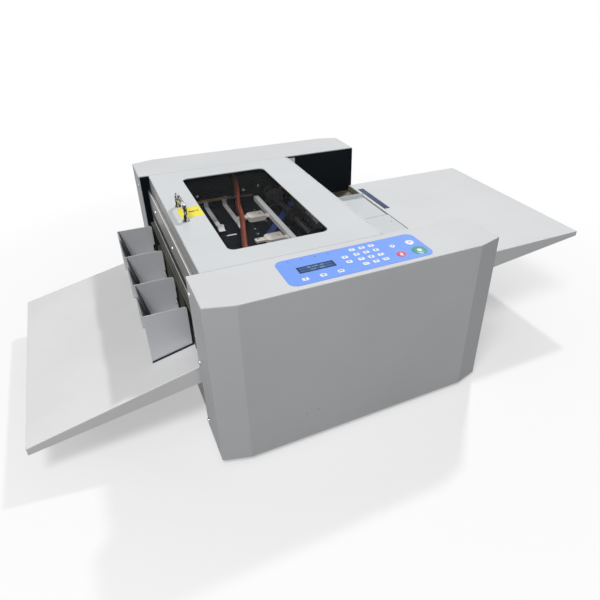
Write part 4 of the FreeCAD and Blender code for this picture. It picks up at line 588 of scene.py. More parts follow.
def makeTickTree():
    # a rule's ticks along Y, every fifth longer and every tenth longest
    tree, start = newGrowth("ruleTicks", [
        ("Count", "Int", 100), ("Pitch", "Float", 0.001), ("Start", "Vector", (0.0, 0.0, 0.0)),
        ("Width", "Float", 0.0003), ("Short", "Float", 0.002), ("Middle", "Float", 0.003),
        ("Long", "Float", 0.005), ("Height", "Float", 0.00005)])
    step = addSocket(tree, "ShaderNodeCombineXYZ", {"Y": start["Pitch"]})
    line = addSocket(tree, "GeometryNodeMeshLine",
                     {"Count": start["Count"], "Start Location": start["Start"], "Offset": step})
    index = addSocket(tree, "GeometryNodeInputIndex")
    length = start["Short"]
    for every, name in ((5.0, "Middle"), (10.0, "Long")):
        isMarked = addMath(tree, "COMPARE", addMath(tree, "MODULO", index, every), 0.0)
        length = addSocket(tree, "GeometryNodeSwitch",
                           {"Switch": isMarked, "False": length, "True": start[name]}, input_type="FLOAT")
    size = addSocket(tree, "ShaderNodeCombineXYZ", {"X": length, "Y": start["Width"], "Z": start["Height"]})
    half = moveGeometry(tree, addSocket(tree, "GeometryNodeMeshCube"), (-0.5, 0.0, 0.0))
    return endGrowth(tree, addInstances(tree, line, half, {"Scale": size}), start["Finish"])


def makeWrapTree():
    # a cord wound round a route in a helix
    tree, start = newGrowth("spiralWrap", [
        ("Radius", "Float", 0.004), ("Pitch", "Float", 0.006), ("Cord", "Float", 0.0006),
        ("Step", "Float", 0.0009)])
    route = addSocket(tree, "GeometryNodeResampleCurve",
                      {"Curve": start["Geometry"], "Length": start["Step"]}, mode="LENGTH")
    along = addSocket(tree, "GeometryNodeSplineParameter", output="Length")
    angle = addMath(tree, "MULTIPLY", addMath(tree, "DIVIDE", along, start["Pitch"]), 2 * math.pi)
    normal = addSocket(tree, "GeometryNodeInputNormal")
    side = addVector(tree, "CROSS_PRODUCT", {0: addSocket(tree, "GeometryNodeInputTangent"), 1: normal})
    offsets = []
    for axis, wave in ((normal, "COSINE"), (side, "SINE")):
        reach = addMath(tree, "MULTIPLY", addMath(tree, wave, angle), start["Radius"])
        offsets.append(addVector(tree, "SCALE", {0: axis, "Scale": reach}))
    wound = addSocket(tree, "GeometryNodeSetPosition",
                      {"Geometry": route, "Offset": addVector(tree, "ADD", dict(enumerate(offsets)))})
    section = addSocket(tree, "GeometryNodeCurvePrimitiveCircle", {"Resolution": 6, "Radius": start["Cord"]})
    tube = addSocket(tree, "GeometryNodeCurveToMesh",
                     {"Curve": wound, "Profile Curve": section, "Fill Caps": True})
    return endGrowth(tree, tube, start["Finish"])


screwTree, fieldTree, tickTree, wrapTree = makeScrewTree(), makeFieldTree(), makeTickTree(), makeWrapTree()


def pointHost(places=((0, 0, 0),), facing=None):
    # a host with one vertex for each place, and the way that they face
    mesh = bpy.data.meshes.new("host")
    mesh.from_pydata([at(*p) for p in places], [], [])
    if facing:
        attribute = mesh.attributes.new("facing", "FLOAT_VECTOR", "POINT")
        attribute.data.foreach_set("vector", facing * len(places))
    return linked("host", mesh)


def growPiece(name, host, tree, finishName, lengths, others=None, body="frame"):
    # runs a tree on its host, keeps the mesh that it makes, and lets the host go; lengths in millimetres
    values = {"Finish": finishes[finishName], **{key: length * mm for key, length in lengths.items()},
              **(others or {})}
    modifier = host.modifiers.new("growth", "NODES")
    modifier.node_group = tree
    for item in tree.interface.items_tree:
        if item.in_out == "INPUT" and item.name in values:
            modifier[item.identifier] = values[item.name]
    mesh = evaluatedMesh(host)
    dropObject(host)
    mesh.name = name
    shadeByAngle(mesh, 35)
    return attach(linked(name, mesh), body)


def templateObject(name, build):
    # a small mesh at the origin, for trees to repeat
    shape = bmesh.new()
    build(shape)
    return linked(name, meshFrom(name, shape))


def growField(name, build, count, size, centre, finishName):
    # a template repeated over columns and rows
    template = templateObject(name + "Template", build)
    field = growPiece(name, pointHost(), fieldTree, finishName, {"Width": size[0], "Depth": size[1]},
                      {"Template": template, "Columns": count[0], "Rows": count[1], "Centre": at(*centre)})
    dropObject(template)
    return field


# pan head of 1 mm radius with a cross recess: each ring of the pan is a radius and a height
pan = {"rings": [(1.0, 0.0), (1.0, 0.2), (0.93, 0.38), (0.78, 0.5), (0.66, 0.55)], "top": 0.55,
       "arm": 0.52, "half": 0.13, "recess": 0.3, "draft": 0.8}


def crossHead(shape):
    arm, half, top = pan["arm"], pan["half"], pan["top"]
    cross = []
    for quarter in range(4):
        turn = Matrix.Rotation(math.pi / 2 * quarter, 2)
        for place in ((arm, -half), (arm, 0), (arm, half), (half * 2, half), (half, half), (half, half * 2)):
            cross.append(turn @ Vector(place))
    angles = [math.atan2(p.y, p.x) for p in cross]
    rows = [[(radius * math.cos(a), radius * math.sin(a), height) for a in angles]
            for radius, height in pan["rings"]]
    for share, height in ((1.0, top), (pan["draft"], top - pan["recess"])):
        rows.append([(p.x * share, p.y * share, height) for p in cross])
    loft(shape, rows, place=aboutOrigin)


screwHead = templateObject("screwHead", crossHead)
upwards = (0, 0, 1)


def growScrews(name, places, facing, size, finishName):
    return growPiece(name, pointHost(places, facing), screwTree, finishName, {},
                     {"Head": screwHead, "Size": size})


# wiring loom, from the rear gearbox over the bed to the front one
loom = {"node": "wiring_harness", "radius": 3.5, "length": 0.43, "wrapPitch": 5.5, "wrapCord": 0.65,
        "strandOffset": (-4.8, 0.0, -0.6), "strandRadius": 1.9,
        "route": [(-44, 199, 239), (-44, 183.1, 238), (-44, 172.1, 226), (-43.5, 173.1, 210),
                  (-45, 165.1, 197), (-53, 140.1, 195), (-59, 95, 194), (-77, 30, 190), (-94, -35, 190),
                  (-102, -95, 192), (-103, -150.1, 196), (-104, -180.1, 196), (-104, -199, 196)]}


def newCurve(name, kind, runs):
    # a curve in space, with a spline for each run of places in millimetres
    curve = bpy.data.curves.new(name, "CURVE")
    curve.dimensions = "3D"
    for places in runs:
        spline = curve.splines.new(kind)
        spline.points.add(len(places) - 1)
        for point, place in zip(spline.points, places):
            point.co = (*at(*place), 1.0)
    return curve


def routeCurve(name, places, radius=0):
    # the loom's smooth route, as a painted tube where it has a radius
    curve = newCurve(name, "NURBS", [places])
    curve.resolution_u = 10
    curve.splines[0].order_u = 3
    curve.splines[0].use_endpoint_u = True
    if radius:
        curve.bevel_depth = radius * mm
        curve.bevel_resolution = 4
        curve.use_fill_caps = True
        curve.materials.append(finishes[name])
    return linked(name, curve)


def makeLoom(parts):
    core = parts["radius"] - parts["wrapCord"]
    sleeve = routeCurve("loomSleeve", parts["route"], core)
    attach(sleeve, "frame")
    wrap = growPiece("loomWrap", routeCurve("loomPath", parts["route"]), wrapTree, "loomWrap",
                     {"Radius": core, "Pitch": parts["wrapPitch"], "Cord": parts["wrapCord"]})
    beside = [tuple(a + b for a, b in zip(place, parts["strandOffset"])) for place in parts["route"]]
    strand = routeCurve("loomStrand", beside, parts["strandRadius"])
    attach(strand, "frame")
    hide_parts(parts["node"])


makeLoom(loom)
print("loom laid")

# springs under the cutter beam
springs = {"node": "return_springs", "joint": "cutter_stroke", "wire": 0.8, "turns": 6, "step": 0.3,
           "stroke": 12.0}


def makeSprings(parts):
    # two coils in the springs' box, fixed on the frame
    low, high = boxOf(parts["node"])
    outer, middle = (high.x - low.x) / 2, (high.x + low.x) / 2
    bottom, top = low.z + parts["wire"], high.z - parts["wire"]
    runs = [[(middle, y, z) for z in (bottom, top)] for y in (low.y + outer, high.y - outer)]
    axes = linked("springAxes", newCurve("springAxes", "POLY", runs))
    coils = growPiece("beamSprings", axes, wrapTree, "springSteel",
                      {"Radius": outer - parts["wire"], "Pitch": (top - bottom) / parts["turns"],
                       "Cord": parts["wire"], "Step": parts["step"]})
    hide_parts(parts["node"])
    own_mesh(coils)


makeSprings(springs)
print("springs wound")

# control panel
panel = {"film": (-109.0, 105.2, -275.0, -207.6), "filmCorner": 12.0, "filmEdge": 0.15, "holeCorner": 0.2,
         "deck": 259.0, "top": 259.6, "keyRise": 0.5, "keyHalf": (4.5, 3.25), "keyCorner": 1.4,
         "keyEdge": 0.25, "padCount": (3, 4), "padCentre": (18.4, -239.9), "padSize": (30.2, 41.8),
         "softKeys": [(-85.5, -264.0), (-60.5, -264.0), (-35.7, -264.0)],
         "stepKeys": [(-15.0, -234.0), (-15.0, -247.0)],
         "whiteRounds": [(60.0, -233.0, 4.0), (88.5, -233.0, 6.5)],
         "redRound": (59.5, -258.0, 6.75), "greenRound": (88.8, -258.2, 11.0),
         "dotShare": 0.34, "dotSink": 0.02, "dotRise": 0.06, "dotEdge": 0.02,
         "lampFirst": -90.0, "lampLast": -31.2, "lampY": -214.6, "lampRadius": 1.0, "lampFlat": 0.3,
         "lamps": 4, "digits": "1234567890"}


def makeFilm(parts):
    # the printed film with its hole for the display
    low, high = boxOf("display_window")
    outer = roundedOutline(*parts["film"], parts["filmCorner"], 8)
    inner = roundedOutline(low.x, high.x, low.y, high.y, parts["holeCorner"], 8)
    z0, z1, edge = parts["deck"], parts["top"], parts["filmEdge"]
    rings = [(inner, z0), (outer, z0), (outer, z1 - edge), (insetOutline(outer, edge), z1), (inner, z1),
             (inner, z0)]
    shape = bmesh.new()
    loft(shape, [[(x, y, z) for x, y in outline] for outline, z in rings], capped=False)
    film = makePiece("controlFilm", shape, ["filmBlue"])
    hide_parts("control_overlay")


def keyPlan(x, y):
    return middleOutline(x, y, *panel["keyHalf"], panel["keyCorner"])


def keyTemplate(shape):
    addSlab(shape, keyPlan(0, 0), 0, panel["keyRise"], panel["keyEdge"], place=aboutOrigin)


def makeKeys(parts):
    z0, z1, edge = parts["top"], parts["top"] + parts["keyRise"], parts["keyEdge"]
    keypad = growField("keypad", keyTemplate, parts["padCount"], parts["padSize"], (*parts["padCentre"], z0),
                       "keyFilm")
    shape = bmesh.new()
    for x, y in parts["softKeys"] + parts["stepKeys"]:
        addSlab(shape, keyPlan(x, y), z0, z1, edge)
    for x, y, radius in parts["whiteRounds"]:
        addSlab(shape, circleOutline(x, y, radius), z0, z1, edge)
    for (x, y, radius), finish in ((parts["redRound"], 1), (parts["greenRound"], 2)):
        addSlab(shape, circleOutline(x, y, radius, 44), z0, z1, edge, finish)
        addSlab(shape, circleOutline(x, y, radius * parts["dotShare"]), z1 - parts["dotSink"],
                z1 + parts["dotRise"], parts["dotEdge"])
    others = makePiece("functionKeys", shape, ["keyFilm", "keyRed", "keyGreen"])
    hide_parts("membrane_keys")
    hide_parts("membrane_keys")


# printing on the keys; a mark is its half width, half depth and corner
ink = {"rise": 0.04, "digit": 5.2, "bold": 0.18, "dash": (1.8, 0.5, 0.3), "arrow": 1.9,
       "bar": (0.6, 1.4, 0.3), "barPitch": 1.9, "plusShare": 0.36, "plusHalf": 0.35, "plusCorner": 0.2}


def padPlaces(parts):
    # centres of the number keys, from the back row to the front one
    (columns, rows), (x0, y0), (width, depth) = parts["padCount"], parts["padCentre"], parts["padSize"]
    across = [x0 + width * (column / (columns - 1) - 0.5) for column in range(columns)]
    back = [y0 + depth * (0.5 - row / (rows - 1)) for row in range(rows)]
    return [(x, y) for y in back for x in across]


def makeLegends(parts):
    # numbers, arrows and plain pictograms
    shape = bmesh.new()
    z = parts["top"] + parts["keyRise"]

    def addMark(outline):
        addSlab(shape, outline, z, z + ink["rise"])

    places = padPlaces(parts)
    for digit, (x, y) in zip(parts["digits"], places[:9] + [places[10]]):
        addText(shape, digit, ink["digit"], (x, y, z), bold=ink["bold"])
    for index in (9, 11):
        addMark(middleOutline(*places[index], *ink["dash"], 2))
    for (x, y), way in zip(parts["stepKeys"], (1, -1)):
        size = ink["arrow"]
        tip = [(x - size, y - way * size * 0.5), (x, y + way * size * 0.7), (x + size, y - way * size * 0.5)]
        addMark(tip[::-way])
    for (x, y), marks in zip(parts["softKeys"], (1, 2, 3)):
        for mark in range(marks):
            addMark(middleOutline(x + (mark - (marks - 1) / 2) * ink["barPitch"], y, *ink["bar"], 2))
    for x, y, radius in parts["whiteRounds"]:
        size, half, corner = radius * ink["plusShare"], ink["plusHalf"], ink["plusCorner"]
        addMark(middleOutline(x, y, size, half, corner, 2))
        addMark(middleOutline(x, y, half, size, corner, 2))
    makePiece("keyLegends", shape, ["legendInk"])


def makeLamps(parts):
    def lampTemplate(shape):
        bmesh.ops.create_uvsphere(shape, u_segments=16, v_segments=8, radius=parts["lampRadius"] * mm,
                                  matrix=Matrix.Diagonal((1, 1, parts["lampFlat"], 1)))
    middle = (parts["lampFirst"] + parts["lampLast"]) / 2
    growField("statusLamps", lampTemplate, (parts["lamps"], 1), (parts["lampLast"] - parts["lampFirst"], 0.0),
              (middle, parts["lampY"], parts["top"]), "lampRed")


display = {"node": "display_window", "count": (16, 2), "field": (1.2, 1.0, 0.8), "fieldRise": 0.03,
           "margin": (3.2, 2.6), "cell": (2.35, 4.6), "rise": 0.06, "lines": ["88 x 55   24", "12.0    300"],
           "digit": 4.8, "digitLift": 0.04, "digitDepth": 0.02}


def makeDisplay(parts):
    low, high = boxOf(parts["node"])
    z, rise = high.z, parts["rise"]
    insetX, insetY, corner = parts["field"]
    shape = bmesh.new()
    field = roundedOutline(low.x + insetX, high.x - insetX, low.y + insetY, high.y - insetY, corner)
    addSlab(shape, field, z, z + parts["fieldRise"])
    makePiece("displayField", shape, ["displayFilm"])
    marginX, marginY = parts["margin"]
    cellX, cellY = parts["cell"]
    width = high.x - low.x - 2 * marginX - cellX
    depth = high.y - low.y - 2 * marginY - cellY
    middleY = (low.y + high.y) / 2
    centre = ((low.x + high.x) / 2, middleY, z + rise / 2 + parts["fieldRise"])

    def cellTemplate(cell):
        bmesh.ops.create_cube(cell, size=mm, matrix=Matrix.Diagonal((cellX, cellY, rise, 1)))

    growField("displayCells", cellTemplate, parts["count"], (width, depth), centre, "displayCell")
    shape = bmesh.new()
    for line, y in zip(parts["lines"], (middleY + depth / 2, middleY - depth / 2)):
        addText(shape, line, parts["digit"], (centre[0], y, z + rise + parts["digitLift"]),
                parts["digitDepth"])
    makePiece("displayDigits", shape, ["displayInk"])


makeFilm(panel)
makeKeys(panel)
makeLegends(panel)
makeLamps(panel)
makeDisplay(display)
print("panel finished")

# lid
lidTrim = {"top": 259.0, "sticker": (-187.0, -152.0, -19.0, 21.0), "stickerCorner": 1.5, "stickerRise": 0.12,
           "stickerEdge": 0.05, "bars": [(-172.0, -162.0, -0.4, 3.4), (-160.5, -156.0, 1.8, 4.4)],
           "barCorner": 0.5, "barRise": 0.03,
           "edgeX": -202.3, "edgeLow": 231.0, "edgeHigh": 256.0, "edgeHalf": 190.0, "edgeInside": 0.05,
           "edgeOutside": (0.35, 0.15),
           "hinge": (68.5, 255.5), "hingeRadius": 2.85, "hingeEase": 0.6,
           "hingeRuns": [(-189.5, -145.4), (-94.6, 94.6), (145.4, 189.5)]}


def makeSticker(parts):
    # yellow label beside the handle, with two plain bars
    shape = bmesh.new()
    rise = parts["top"] + parts["stickerRise"]
    addSlab(shape, roundedOutline(*parts["sticker"], parts["stickerCorner"]), parts["top"], rise,
            parts["stickerEdge"])
    for bar in parts["bars"]:
        addSlab(shape, roundedOutline(*bar, parts["barCorner"], 3), rise, rise + parts["barRise"], finish=1)
    makePiece("lidSticker", shape, ["stickerYellow", "legendInk"], "lid")


def makeLidEdge(parts):
    # darker grey strip on the lid's exit side flange, a little thicker at its foot: painted shade for the
    # flange's shaded side
    x, low, high = parts["edgeX"], parts["edgeLow"], parts["edgeHigh"]
    inside = x + parts["edgeInside"]
    footX, headX = (x - out for out in parts["edgeOutside"])
    shape = bmesh.new()
    addBar(shape, [(footX, low), (inside, low), (inside, high), (headX, high)], -parts["edgeHalf"],
           parts["edgeHalf"])
    makePiece("lidEdge", shape, ["plateGrey"], "lid")


def makeHingeBarrel(parts):
    # the beading that fills the line between the lid and the bridge, round the hinge's axis
    outline = circleOutline(*parts["hinge"], parts["hingeRadius"], 20)
    ease = parts["hingeEase"]
    shape = bmesh.new()
    for y0, y1 in parts["hingeRuns"]:
        addRun(shape, outline, ((ease, y0), (0, y0 + ease), (0, y1 - ease), (ease, y1)))
    makePiece("hingeBarrel", shape, ["lidPaint"])


makeSticker(lidTrim)
makeLidEdge(lidTrim)
makeHingeBarrel(lidTrim)

# covers of the pressure blocks and their tabs, seen through the window
lanes = [-90.25, 2.95, 103.6]
block = {"x0": -48.0, "x1": -16.0, "half": 13.0, "nose": 5.0, "corner": 2.5, "top": 186.6, "rise": 0.9,
         "edge": 0.35, "lip": 0.4, "tab": 18.0, "tabGap": 1.0, "tabHalf": 6.0, "tabCorner": 2.4,
         "tabTop": 185.6, "tabRise": 0.6, "tabEdge": 0.25,
         "screwX": -24.6, "screwAside": -0.5, "screwSize": (1.9, 1.9, 1.6),
         "tabScrewX": -60.5, "tabScrewAside": 1.5, "tabScrewSize": (2.2, 2.2, 1.8)}


def blockPlan(y):
    # a cover's outline, tapered towards the exit, with rounded corners at the other end
    x0, x1 = block["x0"] - block["lip"], block["x1"] + block["lip"]
    half, nose, corner = block["half"] + block["lip"], block["nose"], block["corner"]
    near = arcPoints(x1 - corner, y - half + corner, corner, 270, 4)
    far = arcPoints(x1 - corner, y + half - corner, corner, 0, 4)
    noseRight = [(x0, y - half + nose), (x0 + nose, y - half)]
    noseLeft = [(x0 + nose, y + half), (x0, y + half - nose)]
    return noseRight + near + far + noseLeft


def makeBlockCovers(parts):
    coverTop, tabTop = parts["top"] + parts["rise"], parts["tabTop"] + parts["tabRise"]
    tabHalf = parts["tabHalf"] + parts["lip"]
    tabX0, tabX1 = parts["x0"] - parts["tab"] - parts["lip"], parts["x0"] - parts["tabGap"]
    shape = bmesh.new()
    for y in lanes:
        addSlab(shape, blockPlan(y), parts["top"], coverTop, parts["edge"])
        addSlab(shape, roundedOutline(tabX0, tabX1, y - tabHalf, y + tabHalf, parts["tabCorner"]),
                parts["tabTop"], tabTop, parts["tabEdge"])
    makePiece("blockCovers", shape, ["blockWhite"])
    growScrews("blockScrews", [(parts["screwX"], y + parts["screwAside"], coverTop) for y in lanes],
               upwards, parts["screwSize"], "screwSteel")
    growScrews("tabScrews", [(parts["tabScrewX"], y + parts["tabScrewAside"], tabTop) for y in lanes],
               upwards, parts["tabScrewSize"], "screwSteel")


# screws, tapes and strips on the bed and the wall behind it
bed = {"top": 175.6,
       "screws": [(-46.0, 67.3), (-47.9, 45.4), (-15.3, 91.1), (-120.0, 150.0), (-120.0, -150.0),
                  (-20.0, -150.0), (-20.0, 150.0)],
       "screwSink": 0.15, "screwSize": (2.4, 2.4, 0.6),
       "wall": 191.1, "wallScrews": [(4.1, 207.9), (-64.9, 194.1), (-26.8, 203.6), (-120.0, 205.0)],
       "wallScrewSize": (2.8, 2.8, 2.4),
       "whiteTape": (-101.0, -83.0, 58.6, 62.4), "tapeCorner": 0.8, "whiteRise": 0.15, "tapeEdge": 0.05,
       "blueTape": [(-28.0, 38.0), (74.0, 171.0)], "blueEndX": 62.0, "blueWidth": 13.0, "blueRise": 0.12,
       "brassStrip": (-124.0, -54.0, 190.0, 195.5), "wallRail": (-53.6, -8.0, 189.6, 192.4),
       "stripCorner": 1.2, "stripThick": 1.6, "stripEase": 0.4}


def makeBedTrim(parts):
    top, wall = parts["top"], parts["wall"]
    growScrews("bedScrews", [(x, y, top - parts["screwSink"]) for x, y in parts["screws"]], upwards,
               parts["screwSize"], "brightSteel")
    growScrews("wallScrews", [(x, wall, z) for x, z in parts["wallScrews"]], (0, -1, 0),
               parts["wallScrewSize"], "brightSteel")
    shape = bmesh.new()
    addSlab(shape, roundedOutline(*parts["whiteTape"], parts["tapeCorner"], 3), top,
            top + parts["whiteRise"], parts["tapeEdge"])
    start, aim = (Vector(place) for place in parts["blueTape"])
    end = start + (aim - start) * (parts["blueEndX"] - start.x) / (aim.x - start.x)
    along = (aim - start).normalized()
    side = Vector((-along.y, along.x)) * parts["blueWidth"] / 2
    addSlab(shape, [start - side, end - side, end + side, start + side], top, top + parts["blueRise"],
            finish=1)
    makePiece("bedTapes", shape, ["tapeWhite", "tapeBlue"])
    shape = bmesh.new()
    ease = parts["stripEase"]
    face = wall - parts["stripThick"]
    for index, strip in enumerate((parts["brassStrip"], parts["wallRail"])):
        addRun(shape, roundedOutline(*strip, parts["stripCorner"], 4),
               ((0, wall), (0, face + ease), (ease, face)), index)
    makePiece("earthStrip", shape, ["brass", "darkSteel"])


makeBlockCovers(block)
makeBedTrim(bed)

# upturned ends of the clear hold-down strips; their near-opaque white is painted glare on the curled film
stripEnds = {"x": (-68.0, -105.0), "half": 5.5, "y": 82.0, "low": 179.0, "high": 188.5, "thick": 1.6,
             "corner": 1.2, "film": (0.2, 0.8),
             "curl": [(82.4, 186.5), (80.2, 182.4), (77.6, 180.2), (74.4, 179.4), (71.0, 180.4)]}


def makeStripEnds(parts):
    half, curl, (filmY, filmZ) = parts["half"], parts["curl"], parts["film"]
    section = curl + [(y + filmY, z + filmZ) for y, z in curl[::-1]]
    shape = bmesh.new()
    for x in parts["x"]:
        plan = roundedOutline(x - half, x + half, parts["low"], parts["high"], parts["corner"], 4)
        addBar(shape, plan, parts["y"], parts["y"] + parts["thick"])
        loft(shape, [[(x + side, y, z) for y, z in section] for side in (-half, half)])
    makePiece("stripEnds", shape, ["clearEdge"])


makeStripEnds(stripEnds)
print("bed dressed")

# plate above the exit gap; the rim's places are given from the tip and the top of its fold
exitPlate = {"node": "exit_cover_plate", "x": -207.5, "sheet": 1.5, "low": 182.0, "high": 235.0,
             "half": 191.0, "fold": 2.6, "bend": 1.6, "rimOuter": [(-0.25, -0.9), (0.6, 0.25)],
             "rimTip": [(0.1, 0.25), (0.1, 0.0)], "rimInner": [(0.9, -0.1), (0.1, -1.0)],
             "screws": [(129.0, 212.5), (-20.4, 212.5), (-169.8, 212.5)], "screwSize": (3.2, 3.2, 3.0)}


def makeExitPlate(parts):
    # a wall with its top folded in towards the lid, a bright steel rim over the fold that is a painted
    # highlight on its top edge, and three screws
    x, t, bend, low, high = (parts[key] for key in ("x", "sheet", "bend", "low", "high"))
    outer, inner = (arcPoints(x + bend, high - bend, radius, 90)[::-1] for radius in (bend, bend - t))
    tipX = x + t + parts["fold"]
    section = [(x, low)] + outer + [(tipX, high), (tipX, high - t)] + inner[::-1] + [(x + t, low)]
    shape = bmesh.new()
    addBar(shape, section, -parts["half"], parts["half"])
    plate = makePiece("exitPlate", shape, ["plateGrey"])
    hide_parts(parts["node"])
    rim = [(start + dx, high + dz) for start, key in ((x, "rimOuter"), (tipX, "rimTip"), (x, "rimInner"))
           for dx, dz in parts[key]]
    shape = bmesh.new()
    addBar(shape, rim, -parts["half"], parts["half"])
    makePiece("exitPlateRim", shape, ["brightSteel"])
    growScrews("exitPlateScrews", [(x, y, z) for y, z in parts["screws"]], (-1, 0, 0), parts["screwSize"],
               "brightSteel")


# black strip on that plate, with a bright lower edge; sections in X from the plate's face and in Z
band = {"half": 188.0, "strip": [(-0.8, 184.0), (0.05, 184.0), (0.05, 196.5), (-0.3, 196.5), (-0.8, 196.0)],
        "edge": [(-1.6, 182.6), (0.05, 182.6), (0.05, 184.0), (-1.2, 184.0), (-1.6, 183.6)]}
# black plates beside the side plates, painted shade: they darken the end panel next to each side plate, with
# a shadow's slanted edge
shadePlate = {"x": -213.45, "thick": 0.8,
          "outline": [(190.6, 60.0), (190.6, 167.5), (94.0, 167.5), (145.0, 140.0), (145.0, 60.0)]}


def makeExitTrim():
    for name, key, finish in (("exitBand", "strip", "rubber"), ("exitBandEdge", "edge", "brightSteel")):
        shape = bmesh.new()
        addBar(shape, [(exitPlate["x"] + x, z) for x, z in band[key]], -band["half"], band["half"])
        makePiece(name, shape, [finish])
    shape = bmesh.new()
    for side in (-1, 1):
        loft(shape, [[(x, side * y, z) for y, z in shadePlate["outline"]]
                     for x in (shadePlate["x"] - shadePlate["thick"], shadePlate["x"])])
    makePiece("exitGussets", shape, ["matteBlack"])


makeExitPlate(exitPlate)
makeExitTrim()
print("exit plate folded")

# card bins
bins = {"y": (-135.4, -45.1, 51.0, 156.2), "left": -277.0, "right": -216.7, "top": 176.6, "lowLeft": 96.5,
        "lowRight": 110.6, "sheet": 1.0, "corner": 3.5, "edge": 0.25, "lean": 0.2329, "backFoot": 101.4,
        "lipFoot": 101.9, "lipInwards": 2.0, "reach": 35.0, "lap": 17.0, "notch": (124.3, 138.3, 3.0),
        "notchSlope": 1.2, "stripThick": 2.2, "stripHalf": 2.0, "stripEase": 0.5, "edgeHalf": 1.0,
        "stripStarts": [(-277.0, 94.3), (-262.0, 97.8)], "stripRight": (-214.5, 108.88), "stripDrop": 18.0}


def addUpright(shape, outline, y0, y1, finish=0):
    # a sheet that stands across Y, its outline in X and Z, with all its edges eased
    edge = bins["edge"]
    addRun(shape, outline, ((edge, y0), (0, y0 + edge), (0, y1 - edge), (edge, y1)), finish)


def wallOutline(parts, hasNotch):
    # a divider's wall, with a notch in its machine-side edge
    right, corner, top = parts["right"], parts["corner"], parts["top"]
    outline = [(parts["left"], parts["lowLeft"]), (right, parts["lowRight"])]
    if hasNotch:
        (low, high, deep), slope = parts["notch"], parts["notchSlope"]
        outline += [(right, low), (right - deep, low + slope), (right - deep, high - slope), (right, high)]
    return outline + arcPoints(right - corner, top - corner, corner, 0) + [(parts["left"], top)]


def backOutline(parts, inwards, foot):
    # a leaning sheet, seen from its end
    x0 = parts["left"] + inwards
    x1 = x0 + parts["lean"] * (parts["top"] - foot)
    return [(x0, parts["top"]), (x1, foot), (x1 + parts["sheet"], foot), (x0 + parts["sheet"], parts["top"])]


def makeBin(parts, index):
    # a wall, the leaning back of its own bin, a lip over the neighbour's back, and the magnetic strips; the
    # backs and lips take a darker copy of the bins' paint, painted shade for the shadow inside the bins
    y, half, edge, reach = parts["y"][index], parts["sheet"] / 2, parts["edge"], parts["reach"]
    shape = bmesh.new()
    addUpright(shape, wallOutline(parts, index > 0), y - half, y + half)
    if index < len(parts["y"]) - 1:
        addUpright(shape, backOutline(parts, 0, parts["backFoot"]), y + half - edge,
                   parts["y"][index + 1] - reach - half, 1)
    if index > 0:
        addUpright(shape, backOutline(parts, parts["lipInwards"], parts["lipFoot"]),
                   y - half - reach - parts["lap"], y - half + edge, 1)
    thick, strip, ease, side = (parts[key] for key in ("stripThick", "stripHalf", "stripEase", "edgeHalf"))
    (leftX, leftZ), (rightX, rightZ) = parts["stripStarts"][index > 0], parts["stripRight"]
    foot = [(leftX, leftZ), (rightX, rightZ), (rightX, rightZ + thick - ease),
            (rightX - ease, rightZ + thick), (leftX, leftZ + thick)]
    addBar(shape, foot, y - strip, y + strip, 2)
    low, high = rightZ + thick, parts["top"] - parts["stripDrop"]
    addBar(shape, [(rightX - thick, low), (rightX, low), (rightX, high), (rightX - thick, high)],
           y - side, y + side, 2)
    body = f"bin_divider_{index + 1}"
    divider = makePiece(f"binDivider{index + 1}", shape, ["binPaint", "binInside", "magnetRubber"], body, 40)
    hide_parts(body)


for binIndex in range(len(bins["y"])):
    makeBin(bins, binIndex)
print("bins folded")

# rule on the feed table
rule = {"plan": (219.0, 232.0, 46.0, 160.0), "rise": 0.2, "corner": 0.8, "edge": 0.06, "marks": 111,
        "start": (231.6, 48.0),
        "tick": {"Pitch": 1.0, "Width": 0.28, "Short": 2.4, "Middle": 3.6, "Long": 5.2, "Height": 0.05},
        "numberX": 222.6, "numberStep": 10, "firstNumber": 20, "number": 4.4, "numberDepth": 0.02}


def makeRule(parts):
    top = boxOf("feed_table")[1].z
    startX, startY = parts["start"]
    shape = bmesh.new()
    addSlab(shape, roundedOutline(*parts["plan"], parts["corner"]), top, top + parts["rise"], parts["edge"])
    makePiece("tableRule", shape, ["ruleBlue"])
    z = top + parts["rise"] + parts["tick"]["Height"] / 2
    growPiece("ruleTicks", pointHost(), tickTree, "ruleInk", parts["tick"],
              {"Count": parts["marks"], "Start": at(startX, startY, z)})
    shape = bmesh.new()
    for step in range(0, parts["marks"], parts["numberStep"]):
        number = str(parts["firstNumber"] + step // parts["numberStep"])
        y = startY + step * parts["tick"]["Pitch"]
        addText(shape, number, parts["number"], (parts["numberX"], y, z), parts["numberDepth"])
    makePiece("ruleNumbers", shape, ["ruleInk"])


# black strip where the fixed infeed plate ends over the sliding one, painted shade for the shadow line at
# that step, and its small screw
infeed = {"x0": 67.0, "x1": 210.0, "y0": 20.2, "y1": 20.9, "top": 176.0, "depth": 1.4, "proud": 0.02,
          "screw": (200.8, -10.8), "screwSize": (1.8, 1.8, 0.8)}


def makeInfeedTrim(parts):
    x0, x1, y0, y1, top = (parts[key] for key in ("x0", "x1", "y0", "y1", "top"))
    shape = bmesh.new()
    addSlab(shape, [(x0, y0), (x1, y0), (x1, y1), (x0, y1)], top - parts["depth"], top + parts["proud"])
    makePiece("infeedEdging", shape, ["rubber"])
    growScrews("infeedScrew", [(*parts["screw"], top)], upwards, parts["screwSize"], "darkSteel")


makeRule(rule)
makeInfeedTrim(infeed)
dropObject(screwHead)
print("feed side dressed")

